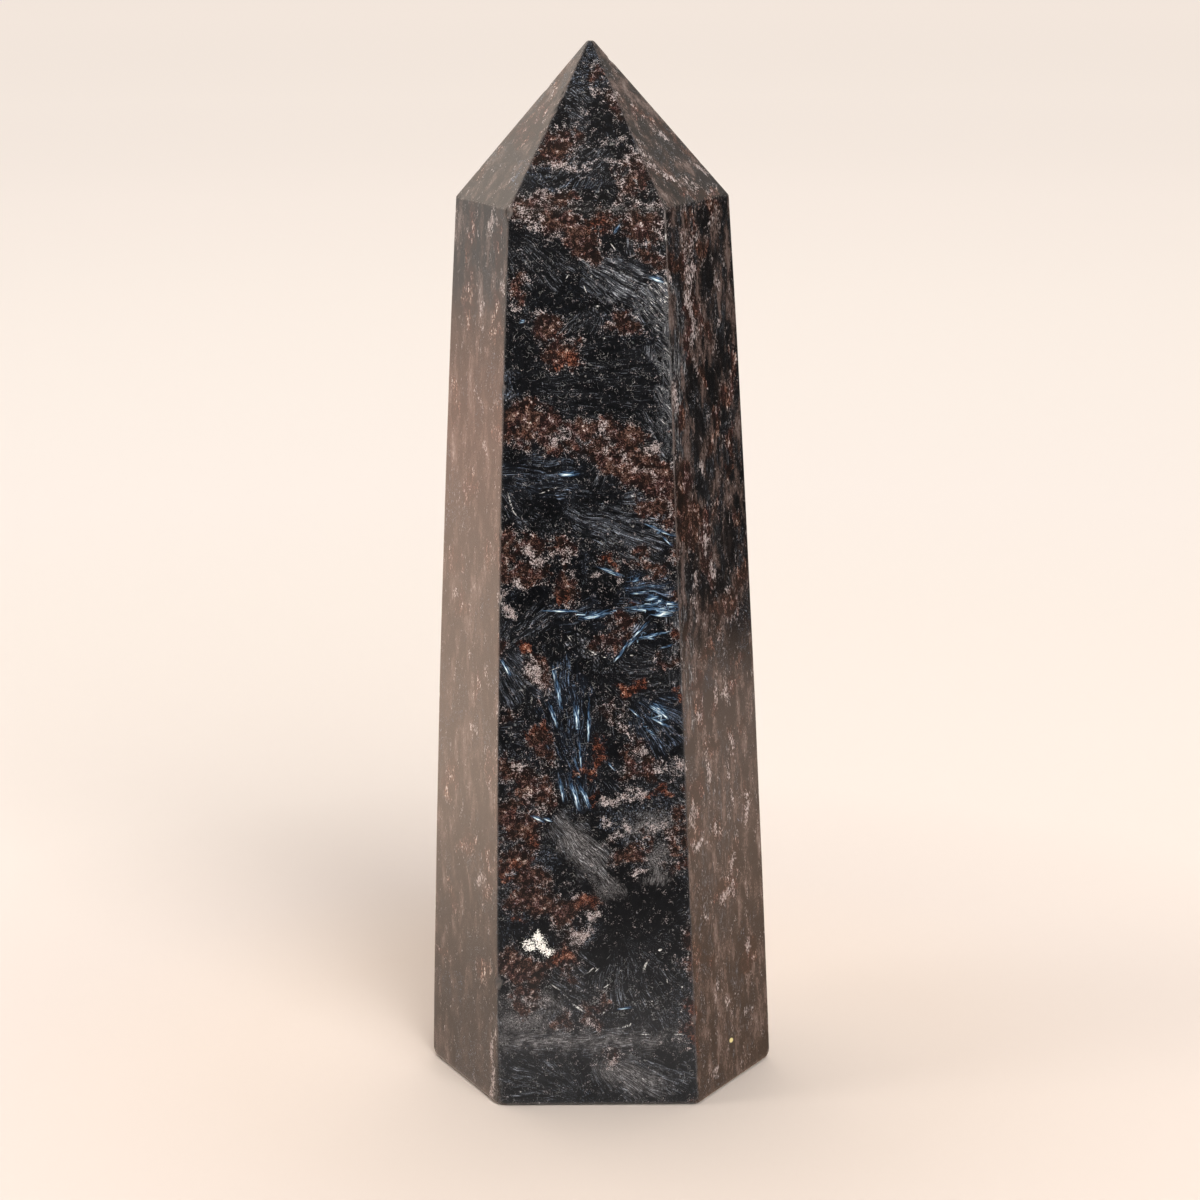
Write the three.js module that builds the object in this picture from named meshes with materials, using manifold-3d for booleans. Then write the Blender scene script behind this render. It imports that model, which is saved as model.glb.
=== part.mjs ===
// A polished stone tower: one piece of dark rock, sawn flat at the base, ground to six tapering
// sides and finished with a six-faced point. It is shaped here as it is shaped on the wheel: a block
// is cut back to one plane after another, with a few passes to each side so that it bows out a little,
// then its arrises are eased and its few chips are taken out.
// Millimetres, +Z up, the front face towards -Y, standing on z = 0.
import * as THREE from 'three';
import { mergeVertices } from 'three/addons/utils/BufferGeometryUtils.js';
import Module from 'manifold-3d';

const wasm = await Module();
wasm.setup();

// Driving heights
const shoulderHeight = 106.2; // where the sides end and the point begins
const tipHeight = 124.1; // top of the blunted tip
const sharpHeight = 124.6; // where the point faces would meet if the tip were sharp
const tipOffset = -0.3; // the tip stands a little to the left of the axis

// The six sides, in order round the stone. A bearing is the way a side faces, in degrees from +X
// towards +Y, and the distances are from the axis to the side, at the base and at the shoulder. A side
// isn't quite flat: halfway up it stands out by its bow beyond the straight line between the two.
const sides = [
  { name: 'front', bearing: 270, atBase: 16.05, atShoulder: 12.35, bow: 0.25 },
  { name: 'right front', bearing: 329.5, atBase: 18.35, atShoulder: 13.25, bow: 0.05 },
  { name: 'right back', bearing: 30, atBase: 18.1, atShoulder: 14, bow: 0.5 },
  { name: 'back', bearing: 90, atBase: 16.6, atShoulder: 12.5, bow: 0.3 },
  { name: 'left back', bearing: 150, atBase: 18.35, atShoulder: 14.3, bow: 0.1 },
  { name: 'left front', bearing: 206.25, atBase: 17.85, atShoulder: 14.1, bow: 0.6 },
];
const passCount = 5; // flats ground one above another to make a side's bow

// Widths of the narrow bevels that ease the arrises
const sideArris = 0.3;
const shoulderArris = 0.3;
const pointArris = 0.3;
const baseArris = 0.5;
const baseCorner = 0.9;

// A longer bevel at the foot of the front left arris, leaning to the left side, that runs out upwards
const footBevel = { length: 10.5, width: 1, lean: 0.65 };

// Chips out of the arrises. Each lies on the arris between the named side and the next one round.
const chips = [
  { after: 'left front', height: 106, radius: 1, depth: 0.45 },
  { after: 'left front', height: 86, radius: 0.8, depth: 0.22 },
  { after: 'left front', height: 69.3, radius: 0.8, depth: 0.22 },
  { after: 'left front', height: 61.5, radius: 0.9, depth: 0.25 },
  { after: 'left front', height: 15.4, radius: 1.4, depth: 0.4 },
  { after: 'front', height: 78.6, radius: 0.8, depth: 0.2 },
  { after: 'front', height: 10.8, radius: 1.1, depth: 0.3 },
];
const chipDetail = 2; // subdivisions of the ball that takes a chip out

const blankWidth = 60; // the rough block, wider than the stone
const cutterSize = 300; // a cutting block reaches past the whole stone from any point on it

const passHeights = Array.from({ length: passCount }, (_, k) => ((k + 0.5) / passCount) * shoulderHeight);
const base = { normal: new THREE.Vector3(0, 0, -1), point: new THREE.Vector3() };
const sharpTip = new THREE.Vector3(tipOffset, 0, sharpHeight);

function heading(side) {
  const angle = THREE.MathUtils.degToRad(side.bearing);
  return new THREE.Vector3(Math.cos(angle), Math.sin(angle), 0);
}

// How far a side stands from the axis at a height: the straight taper with the bow, a parabola, on it
function reach(side, height) {
  const share = height / shoulderHeight;
  return THREE.MathUtils.lerp(side.atBase, side.atShoulder, share) + 4 * side.bow * share * (1 - share);
}

// The flat of one pass, which touches the bowed side at a height
function passPlane(side, height) {
  const out = heading(side);
  const share = height / shoulderHeight;
  const lean = side.atBase - side.atShoulder - 4 * side.bow * (1 - 2 * share);
  const normal = out.clone().multiplyScalar(shoulderHeight).setZ(lean).normalize();
  return { normal, point: out.multiplyScalar(reach(side, height)).setZ(height) };
}

// A point face runs from the top of its side to the sharp tip
function pointPlane(side) {
  const out = heading(side);
  const run = side.atShoulder - out.dot(sharpTip);
  const rise = sharpHeight - shoulderHeight;
  const normal = out.multiplyScalar(rise).setZ(run).normalize();
  return { normal, point: sharpTip };
}

// The one point that lies on three planes
function meeting(a, b, c) {
  const rows = new THREE.Matrix3().set(...a.normal, ...b.normal, ...c.normal);
  const offsets = new THREE.Vector3(...[a, b, c].map((plane) => plane.normal.dot(plane.point)));
  return offsets.applyMatrix3(rows.invert());
}

// A bevel of the given width, square between the two planes whose edge passes through the point
function easing(a, b, edgePoint, width) {
  const normal = a.normal.clone().add(b.normal).normalize();
  const depth = (width / 2) * Math.tan(a.normal.angleTo(b.normal) / 2);
  return { normal, point: edgePoint.clone().addScaledVector(normal, -depth) };
}

// A small flat across the corner where three planes meet
function cornerEasing(planes, corner, depth) {
  const normal = planes.reduce((sum, plane) => sum.add(plane.normal), new THREE.Vector3()).normalize();
  return { normal, point: corner.clone().addScaledVector(normal, -depth) };
}

// Where the arris between two sides is at a height
function arrisAt(a, b, height) {
  const [uprightA, uprightB] = [a, b].map((side) => {
    const normal = heading(side);
    return { normal, point: normal.clone().multiplyScalar(reach(side, height)) };
  });
  const level = { normal: new THREE.Vector3(0, 0, 1), point: new THREE.Vector3(0, 0, height) };
  return meeting(uprightA, uprightB, level);
}

// The long bevel: full width where the arris meets the base, nothing at the far end of its length
function taperedBevel(left, right, foot, end, bevel) {
  const out = new THREE.Vector3().lerpVectors(right.normal, left.normal, bevel.lean).setZ(0).normalize();
  const depth = (bevel.width / 2) * Math.tan(left.normal.angleTo(right.normal) / 2);
  const start = foot.clone().addScaledVector(out, -depth);
  const across = new THREE.Vector3(-out.y, out.x, 0);
  const normal = across.cross(end.clone().sub(start)).normalize();
  return { normal, point: end };
}

// A closed geometry as a solid for cutting
function toSolid(geometry) {
  geometry.deleteAttribute('normal');
  geometry.deleteAttribute('uv');
  const merged = mergeVertices(geometry);
  const vertProperties = new Float32Array(merged.attributes.position.array);
  const triVerts = new Uint32Array(merged.index.array);
  return new wasm.Manifold(new wasm.Mesh({ numProp: 3, vertProperties, triVerts }));
}

function toGeometry(solid) {
  const { vertProperties, triVerts } = solid.getMesh();
  const geometry = new THREE.BufferGeometry();
  geometry.setAttribute('position', new THREE.BufferAttribute(vertProperties, 3));
  geometry.setIndex(new THREE.BufferAttribute(triVerts, 1));
  geometry.computeVertexNormals();
  return geometry;
}

// Everything on the outer side of a plane
function beyond({ normal, point }) {
  const block = new THREE.BoxGeometry(cutterSize, cutterSize, cutterSize);
  block.translate(0, 0, cutterSize / 2);
  block.applyQuaternion(new THREE.Quaternion().setFromUnitVectors(new THREE.Vector3(0, 0, 1), normal));
  block.translate(point.x, point.y, point.z);
  return toSolid(block);
}

const pointPlanes = sides.map(pointPlane);

// The arris between each side and the next
const arrises = sides.map((side, i) => {
  const next = (i + 1) % sides.length;
  return { sides: [side, sides[next]], pointPlanes: [pointPlanes[i], pointPlanes[next]] };
});

// A bite out of an arris, as a ball that reaches the given depth into it
function chipBall({ after, height, radius, depth }) {
  const pair = arrises.find((arris) => arris.sides[0].name === after).sides;
  const out = heading(pair[0]).add(heading(pair[1])).normalize();
  const place = arrisAt(...pair, height).addScaledVector(out, radius - depth);
  const ball = new THREE.IcosahedronGeometry(radius, chipDetail);
  ball.translate(place.x, place.y, place.z);
  return toSolid(ball);
}

// The planes that ease one arris, its end of the shoulder, its corner at the foot and the side's lower edge
function easingPlanes({ sides: pair, pointPlanes: points }) {
  const foot = arrisAt(...pair, 0);
  const shoulder = arrisAt(...pair, shoulderHeight);
  const lowest = pair.map((side) => passPlane(side, passHeights[0]));
  const highest = passPlane(pair[0], passHeights.at(-1));
  const alongSides = passHeights.map((height) => {
    const beside = pair.map((side) => passPlane(side, height));
    return easing(...beside, arrisAt(...pair, height), sideArris);
  });
  return [
    ...alongSides,
    easing(...points, sharpTip, pointArris),
    easing(highest, points[0], shoulder, shoulderArris),
    easing(lowest[0], base, foot, baseArris),
    cornerEasing([...lowest, base], foot, baseCorner / 2),
  ];
}

// Every plane that the stone is cut back to: the faces first, then the easing of their edges
function groundPlanes() {
  const sidePlanes = sides.flatMap((side) => passHeights.map((height) => passPlane(side, height)));
  const frontLeft = arrises.at(-1).sides;
  const beside = frontLeft.map((side) => passPlane(side, passHeights[0]));
  const ends = [0, footBevel.length].map((height) => arrisAt(...frontLeft, height));
  return [
    ...sidePlanes,
    ...pointPlanes,
    ...arrises.flatMap(easingPlanes),
    taperedBevel(...beside, ...ends, footBevel),
  ];
}

function towerSolid() {
  const block = new THREE.BoxGeometry(blankWidth, blankWidth, tipHeight);
  block.translate(0, 0, tipHeight / 2);
  const cutters = [...groundPlanes().map(beyond), ...chips.map(chipBall)];
  return cutters.reduce((stone, cutter) => stone.subtract(cutter), toSolid(block));
}

const stone = new THREE.MeshStandardMaterial({
  color: '#1e191b',
  roughness: 0.18,
  metalness: 0,
  flatShading: true,
});
const tower = new THREE.Mesh(toGeometry(towerSolid()), stone);
tower.name = 'tower';

// The origin is the middle of the footprint's bounding box, on the surface that the stone stands on
const middle = new THREE.Box3().setFromObject(tower).getCenter(new THREE.Vector3());
tower.position.set(-middle.x, -middle.y, 0);

const group = new THREE.Group();
group.add(tower);

export default group;
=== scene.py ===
import math
from functools import partialmethod

import bpy
import numpy as np
from mathutils import Matrix, Vector


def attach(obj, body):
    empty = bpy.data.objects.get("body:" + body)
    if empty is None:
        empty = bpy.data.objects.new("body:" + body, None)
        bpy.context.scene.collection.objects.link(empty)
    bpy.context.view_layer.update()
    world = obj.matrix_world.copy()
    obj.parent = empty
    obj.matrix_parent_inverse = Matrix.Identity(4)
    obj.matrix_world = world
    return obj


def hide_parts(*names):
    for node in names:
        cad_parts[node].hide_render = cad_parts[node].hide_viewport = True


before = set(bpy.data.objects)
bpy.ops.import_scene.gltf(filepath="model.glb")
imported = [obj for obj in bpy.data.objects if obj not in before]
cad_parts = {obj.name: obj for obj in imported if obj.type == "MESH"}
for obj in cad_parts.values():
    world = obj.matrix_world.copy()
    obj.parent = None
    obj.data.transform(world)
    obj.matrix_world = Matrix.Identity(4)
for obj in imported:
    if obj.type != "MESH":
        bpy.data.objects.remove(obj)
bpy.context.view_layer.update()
mm = 0.001  # Blender's metres in a millimetre
far = 9.0  # mm or half sizes: more than any distance that counts

# The stone's surface is worked out in millimetres, then put into the mesh in metres
surface = {
    "sliver": 1e-6,  # square mm; smaller triangles are left out
    "smallestFlat": 0.05,  # square mm
    "sameWay": 0.999995,  # the least cosine between the normals of one flat's triangles
    "sameOffset": 0.03,  # mm
    "slack": 0.02,  # mm; how far corners may lie beyond a flat that is kept
    "passes": 5,  # flats one above another, in which each side was ground
    "smallestPass": 100.0,  # square mm
    "edgeBlend": 26.0,  # per mm; how tightly two faces turn into each other
    "fineStep": 0.06,  # mm beside an arris
    "acrossSteps": (0.28, 0.5, 1.3, 1.3, 1.3, 0.6),  # mm in the middle of each side, front first
    "baseStep": 1.0,  # the same on the base, outwards
    "upStep": 0.38,  # and upwards
    "growth": 1.5,  # how fast the steps grow away from an arris
    "fineShare": 0.45,  # the most of a length that growing steps take up from each end
    "baseLength": 30.0,  # mm right across the base, for its steps
    "arrisWidth": 0.1,  # mm over which the nearness of an arris falls off
    "spineFoot": 12.0,  # mm; points are pushed in towards a spine that starts here
    "spineTop": 98.0,  # and ends here
    "deepest": 0.12,  # the furthest share of the way to the spine that a point may go
    "halvings": 20,
    "wobble": 0.006,  # mm; a hand-held face is never quite flat
    "inset": 0.046,  # mm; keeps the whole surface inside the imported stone
    "seed": 11,
}

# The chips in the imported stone: arris, height, radius and depth in mm. An arris has the number of the
# side before it, counted round from the front.
frontRight, frontLeft = 0, 5
chips = [
    (frontLeft, 106.0, 1.0, 0.45),
    (frontLeft, 86.0, 0.8, 0.22),
    (frontLeft, 69.3, 0.8, 0.22),
    (frontLeft, 61.5, 0.9, 0.25),
    (frontLeft, 15.4, 1.4, 0.4),
    (frontRight, 78.6, 0.8, 0.2),
    (frontRight, 10.8, 1.1, 0.3),
]

# Smaller nicks, strewn along the arrises: sizes in mm, then shares from 0 to 1
nicks = {
    "count": 170,
    "radius": (0.22, 0.6),
    "depth": (0.02, 0.12),
    "easing": 0.05,  # how far the arrises are rounded off
    "onFrontLeft": 0.3,
    "onPoint": 0.2,
    "onPointOrShoulder": 0.34,  # the rest are on the sides' arrises
    "nearestTip": 0.95,  # of the way up the point
}


# A mesh's points in mm
def pointsOf(mesh):
    points = np.empty(len(mesh.vertices) * 3)
    mesh.vertices.foreach_get("co", points)
    return points.reshape(-1, 3) / mm


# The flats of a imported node. Triangles with one normal and one offset are one flat. A flat is kept when
# its area is over the smallest and no corner lies beyond it, which leaves out the chips.
def flatFaces(node):
    mesh = node.data
    places = pointsOf(mesh)
    mesh.calc_loop_triangles()
    corners = np.empty(len(mesh.loop_triangles) * 3, int)
    mesh.loop_triangles.foreach_get("vertices", corners)
    a, b, c = places[corners.reshape(-1, 3)].transpose(1, 0, 2)
    turned = np.cross(b - a, c - a)
    area = np.linalg.norm(turned, axis=1) / 2
    whole = area > surface["sliver"]
    normal = turned[whole] / (2 * area[whole, None])
    offset = (normal * a[whole]).sum(1)
    area = area[whole]
    flats, free = [], np.ones(len(area), bool)
    while free.any():
        seed = np.flatnonzero(free)[np.argmax(area[free])]
        same = free & (normal @ normal[seed] > surface["sameWay"])
        same &= abs(offset - offset[seed]) < surface["sameOffset"]
        outermost = (places @ normal[seed]).max() < offset[seed] + surface["slack"]
        if outermost and area[same].sum() > surface["smallestFlat"]:
            flats.append((*normal[seed], offset[seed], area[same].sum()))
        free &= ~same
    flats = np.array(flats)
    return flats[:, :3], flats[:, 3], flats[:, 4]


normals, offsets, areas = flatFaces(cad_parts["tower"])
print("flats read from the packed stone:", len(offsets))

# How the flats are told apart: bearings in degrees, and the upward parts of their normals
telling = {
    "start": 265,  # the order round the stone begins here, just before the front
    "sideGap": 20,  # a new side begins where the bearings jump by more
    "frontLeft": 305,  # the small flats further round than this are the front left arris's
    "upright": 0.1,
    "point": (0.3, 0.8),
    "tip": 0.95,
    "base": -0.2,
}
bearing = np.degrees(np.arctan2(normals[:, 1], normals[:, 0]))
wayRound = (bearing - telling["start"]) % 360
rise = normals[:, 2]
upright = abs(rise) < telling["upright"]
large = areas > surface["smallestPass"]


def inOrder(chosen):
    found = np.flatnonzero(chosen)
    return found[np.argsort(wayRound[found])]


found = inOrder(upright & large)
passes = np.split(found, np.flatnonzero(np.diff(wayRound[found]) > telling["sideGap"]) + 1)
pointFaces = inOrder((rise > telling["point"][0]) & (rise < telling["point"][1]) & large)
sharpTip = np.linalg.lstsq(normals[pointFaces], offsets[pointFaces], rcond=None)[0]
nextSide = np.roll(np.arange(6), -1)

# The long bevel at the foot of the front left arris leans furthest to the left side
footBevel = inOrder(upright & ~large & (wayRound > telling["frontLeft"]))[0]

# The blunted tip, and the base with the bevels round its edge
ends = np.flatnonzero((rise > telling["tip"]) | (rise < telling["base"]))

# The level way that each side faces, and how much of each flat's normal is level
sideWays = np.array([normals[flats, :2].mean(0) for flats in passes])
sideWays /= np.linalg.norm(sideWays, axis=1, keepdims=True)
level = np.linalg.norm(normals[:, :2], axis=1)


# How far the passes of each side stand from the axis at a height: the nearest one counts
def passReach(height):
    return [((offsets[flats] - rise[flats] * height) / level[flats]).min() for flats in passes]


# The shoulder is where the uppermost passes meet the faces of the point, both in one upright plane
top = np.array([flats[np.argmax(rise[flats])] for flats in passes])
shoulderHeight = np.mean(
    (offsets[pointFaces] * level[top] - offsets[top] * level[pointFaces])
    / (rise[pointFaces] * level[top] - rise[top] * level[pointFaces])
)
print("shoulder at", round(shoulderHeight, 2), "mm, sharp tip at", np.round(sharpTip, 2))

# Each side as a parabola: its reach at a height, through the middles of its passes
middles = (np.arange(surface["passes"]) + 0.5) / surface["passes"] * shoulderHeight
sideCurves = np.polyfit(middles, np.array([passReach(height) for height in middles]), 2)


# How far each side stands from the axis at the heights, by its parabola; one row for each height
def sideReach(height):
    height = np.asarray(height)[..., None]
    return sideCurves[0] * height**2 + sideCurves[1] * height + sideCurves[2]


# A point on the sharp arris between a side and the next one, at a height in mm
def arrisPoint(arris, height):
    reach = sideReach(height)
    ways = np.stack([sideWays[arris], sideWays[nextSide[arris]]], -2)
    both = np.stack([arris, nextSide[arris]], -1)
    spot = np.linalg.solve(ways, np.take_along_axis(reach, both, -1)[..., None])[..., 0]
    return np.concatenate([spot, np.asarray(height)[..., None]], -1)


allArrises = np.arange(6)
footCorners = arrisPoint(allArrises, np.zeros(6))
shoulderCorners = arrisPoint(allArrises, np.full(6, shoulderHeight))


# Shares of a length from 0 to 1: the steps start fine at both ends and grow by a fixed ratio until they
# are coarse, and the middle is even
def gradedSteps(length, coarse):
    count = math.ceil(math.log(coarse / surface["fineStep"]) / math.log(surface["growth"]))
    ends = (surface["fineStep"] * surface["growth"] ** np.arange(count)).cumsum()
    ends = ends[ends < length * surface["fineShare"]]
    middle = np.linspace(ends[-1], length - ends[-1], math.ceil((length - 2 * ends[-1]) / coarse) + 1)
    return np.concatenate([[0], ends[:-1], middle, (length - ends[:-1])[::-1], [length]]) / length


# The way an arris faces, level and halfway between its two sides
def arrisOut(arris):
    out = sideWays[arris] + sideWays[nextSide[arris]]
    out = np.concatenate([out, np.zeros((len(out), 1))], 1)
    return out / np.linalg.norm(out, axis=1, keepdims=True)


# Centres and radii of the balls that take the chips and nicks out of the arrises
def bites():
    rng = np.random.default_rng(surface["seed"])
    arris, height, radius, depth = np.array(chips).T
    arris = arris.astype(int)
    centres = arrisPoint(arris, height) + arrisOut(arris) * (radius - depth)[:, None]
    count = nicks["count"]
    where = np.where(rng.random(count) < nicks["onFrontLeft"], frontLeft, rng.integers(0, 6, count))
    up = rng.random(count)
    size = rng.uniform(*nicks["radius"], count)
    bite = rng.uniform(*nicks["depth"], count) * size / nicks["radius"][1] + nicks["easing"]
    kind = rng.random(count)[:, None]
    place = arrisPoint(where, up * shoulderHeight)
    up = up[:, None]
    shoulder = shoulderCorners[where - 1] * (1 - up) + shoulderCorners[where] * up
    place = np.where(kind < nicks["onPointOrShoulder"], shoulder, place)
    point = shoulderCorners[where] + (sharpTip - shoulderCorners[where]) * (up * nicks["nearestTip"])
    place = np.where(kind < nicks["onPoint"], point, place)
    outward = place - np.array([0, 0, 1]) * np.clip(place[:, 2:], None, surface["spineTop"])
    outward /= np.linalg.norm(outward, axis=1, keepdims=True)
    nickCentres = place + outward * (size - bite)[:, None]
    return np.concatenate([centres, nickCentres]), np.concatenate([radius, size])


# A slow unevenness of about a hundredth of a millimetre: three sines across each other
def wobbleOf(points):
    x, y, z = points.T
    return surface["wobble"] * (
        np.sin(x * 0.42 + z * 0.11 + 1.3) + np.sin(y * 0.5 - z * 0.17 + 0.4) + np.sin(z * 0.29 + x * 0.2)
    )


# How far points lie beyond each face, in mm: the six bowed sides, then the flats of the point, the base
# and the long bevel
def beyondFaces(points):
    sides = points[:, :2] @ sideWays.T - sideReach(points[:, 2])
    flat = np.concatenate([pointFaces, ends, [footBevel]])
    return np.concatenate([sides, points @ normals[flat].T - offsets[flat]], 1)


# How far points are outside the stone, in mm: the smooth maximum of their distances over every face, or
# their depth inside a chip's ball where that is more. Also says whether the ball's is the one that counts.
def outside(points, ballCentres, ballRadii):
    blend = surface["edgeBlend"]
    powers = np.clip(beyondFaces(points) * blend, -60, 60)  # well within what exp can hold
    ground = np.log(np.exp(powers).sum(1)) / blend
    ground += wobbleOf(points) + surface["inset"]
    inBall = np.full(len(points), -far)
    for centre, radius in zip(ballCentres, ballRadii):
        near = np.flatnonzero(abs(points[:, 2] - centre[2]) < radius)
        inBall[near] = np.maximum(inBall[near], radius - np.linalg.norm(points[near] - centre, axis=1))
    return np.maximum(ground, inBall), inBall >= ground


# Rings of points on the sharp stone, from the middle of the base out to its edge, up the sides and in to
# the tip. Each point is then moved in towards the spine, by halving, until it lies on the eased and
# chipped surface. Gives the points in mm, the quads and the triangles at both poles.
def towerSurface():
    widths = np.linalg.norm(footCorners - np.roll(footCorners, 1, 0), axis=1)
    across = [gradedSteps(w, step)[:-1] for w, step in zip(widths, surface["acrossSteps"])]
    side = np.concatenate([np.full(len(s), i) for i, s in enumerate(across)])
    share = np.concatenate(across)[:, None]

    def ringAt(corners):
        return np.roll(corners, 1, 0)[side] * (1 - share) + corners[side] * share

    shoulder = ringAt(shoulderCorners)
    bothWays = gradedSteps(surface["baseLength"], surface["baseStep"])
    baseRows = 2 * bothWays[bothWays >= 0.5] - 1
    sideRows = gradedSteps(shoulderHeight, surface["upStep"]) * shoulderHeight
    tipRows = gradedSteps(np.linalg.norm(sharpTip - shoulder[0]), surface["upStep"])
    rings = np.concatenate(
        [
            ringAt(footCorners)[None] * np.array([1, 1, 0]) * baseRows[1:-1, None, None],
            [ringAt(arrisPoint(allArrises, np.full(6, height))) for height in sideRows],
            shoulder + (sharpTip - shoulder) * tipRows[1:-1, None, None],
        ]
    )
    rowCount, columnCount = rings.shape[:2]
    points = np.concatenate([rings.reshape(-1, 3), [[0, 0, 0]], [sharpTip]])
    spine = np.zeros_like(points)
    spine[:, 2] = np.clip(points[:, 2], surface["spineFoot"], surface["spineTop"])
    ballCentres, ballRadii = bites()
    low, high = np.zeros(len(points)), np.full(len(points), surface["deepest"])
    for _ in range(surface["halvings"]):
        middle = (low + high) / 2
        over = outside(points + (spine - points) * middle[:, None], ballCentres, ballRadii)[0]
        low, high = np.where(over > 0, middle, low), np.where(over > 0, high, middle)
    eased = points + (spine - points) * high[:, None]
    chipped = outside(eased, ballCentres, ballRadii)[1]

    index = np.arange(rowCount * columnCount).reshape(rowCount, columnCount)
    right = np.roll(index, -1, 1)
    quads = np.stack([index[:-1], right[:-1], right[1:], index[1:]], -1).reshape(-1, 4)
    baseMiddle, tip = rowCount * columnCount, rowCount * columnCount + 1
    low = np.stack([right[0], index[0], np.full(columnCount, baseMiddle)], -1)
    top = np.stack([index[-1], right[-1], np.full(columnCount, tip)], -1)
    return eased, quads, np.concatenate([low, top]), chipped


# 1 on an arris and about a third at its width off it, from the gap between the two nearest faces
def arrisNearness(points):
    beyond = np.sort(beyondFaces(points), axis=1)
    return np.exp(-(beyond[:, -1] - beyond[:, -2]) / surface["arrisWidth"])


def setAttribute(mesh, name, values):
    kind, field = ("FLOAT_VECTOR", "vector") if values.ndim == 2 else ("FLOAT", "value")
    mesh.attributes.new(name, kind, "POINT").data.foreach_set(field, values.astype(np.float32).ravel())


def addObject(name, data):
    added = bpy.data.objects.new(name, data)
    bpy.context.scene.collection.objects.link(added)
    return added


def buildTower():
    points, quads, triangles, chipped = towerSurface()
    mesh = bpy.data.meshes.new("polished_tower")
    mesh.from_pydata((points * mm).tolist(), [], quads.tolist() + triangles.tolist())
    mesh.polygons.foreach_set("use_smooth", np.ones(len(mesh.polygons), bool))
    setAttribute(mesh, "arris", arrisNearness(points))
    setAttribute(mesh, "chipped", chipped)
    mesh.update()
    print("tower surface:", len(quads) * 2 + len(triangles), "triangles")
    return addObject("polished_tower", mesh)


tower = buildTower()

# Camera: where the photograph was taken from, worked out from the stone's corners in it
view = {
    "place": (0.176, -394.676, 153.48),  # mm
    "target": (0.176, 0.074, 57.885),
    "roll": -0.313,  # degrees
    "focal": 3400,  # pixels, in a frame of 1200
    "frame": 1200,
    "sensor": 36.0,
    "clips": (0.01, 20.0),  # metres
}


def buildCamera():
    data = bpy.data.cameras.new("camera")
    data.sensor_width = view["sensor"]
    data.lens = view["focal"] / view["frame"] * view["sensor"]
    camera = addObject("camera", data)
    place, target = Vector(view["place"]) * mm, Vector(view["target"]) * mm
    aimed = (target - place).to_track_quat("-Z", "Y").to_matrix().to_4x4()
    roll = Matrix.Rotation(math.radians(view["roll"]), 4, "Z")
    camera.matrix_world = Matrix.Translation(place) @ aimed @ roll
    data.clip_start, data.clip_end = view["clips"]
    bpy.context.scene.camera = camera


buildCamera()
print("camera placed")

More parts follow.
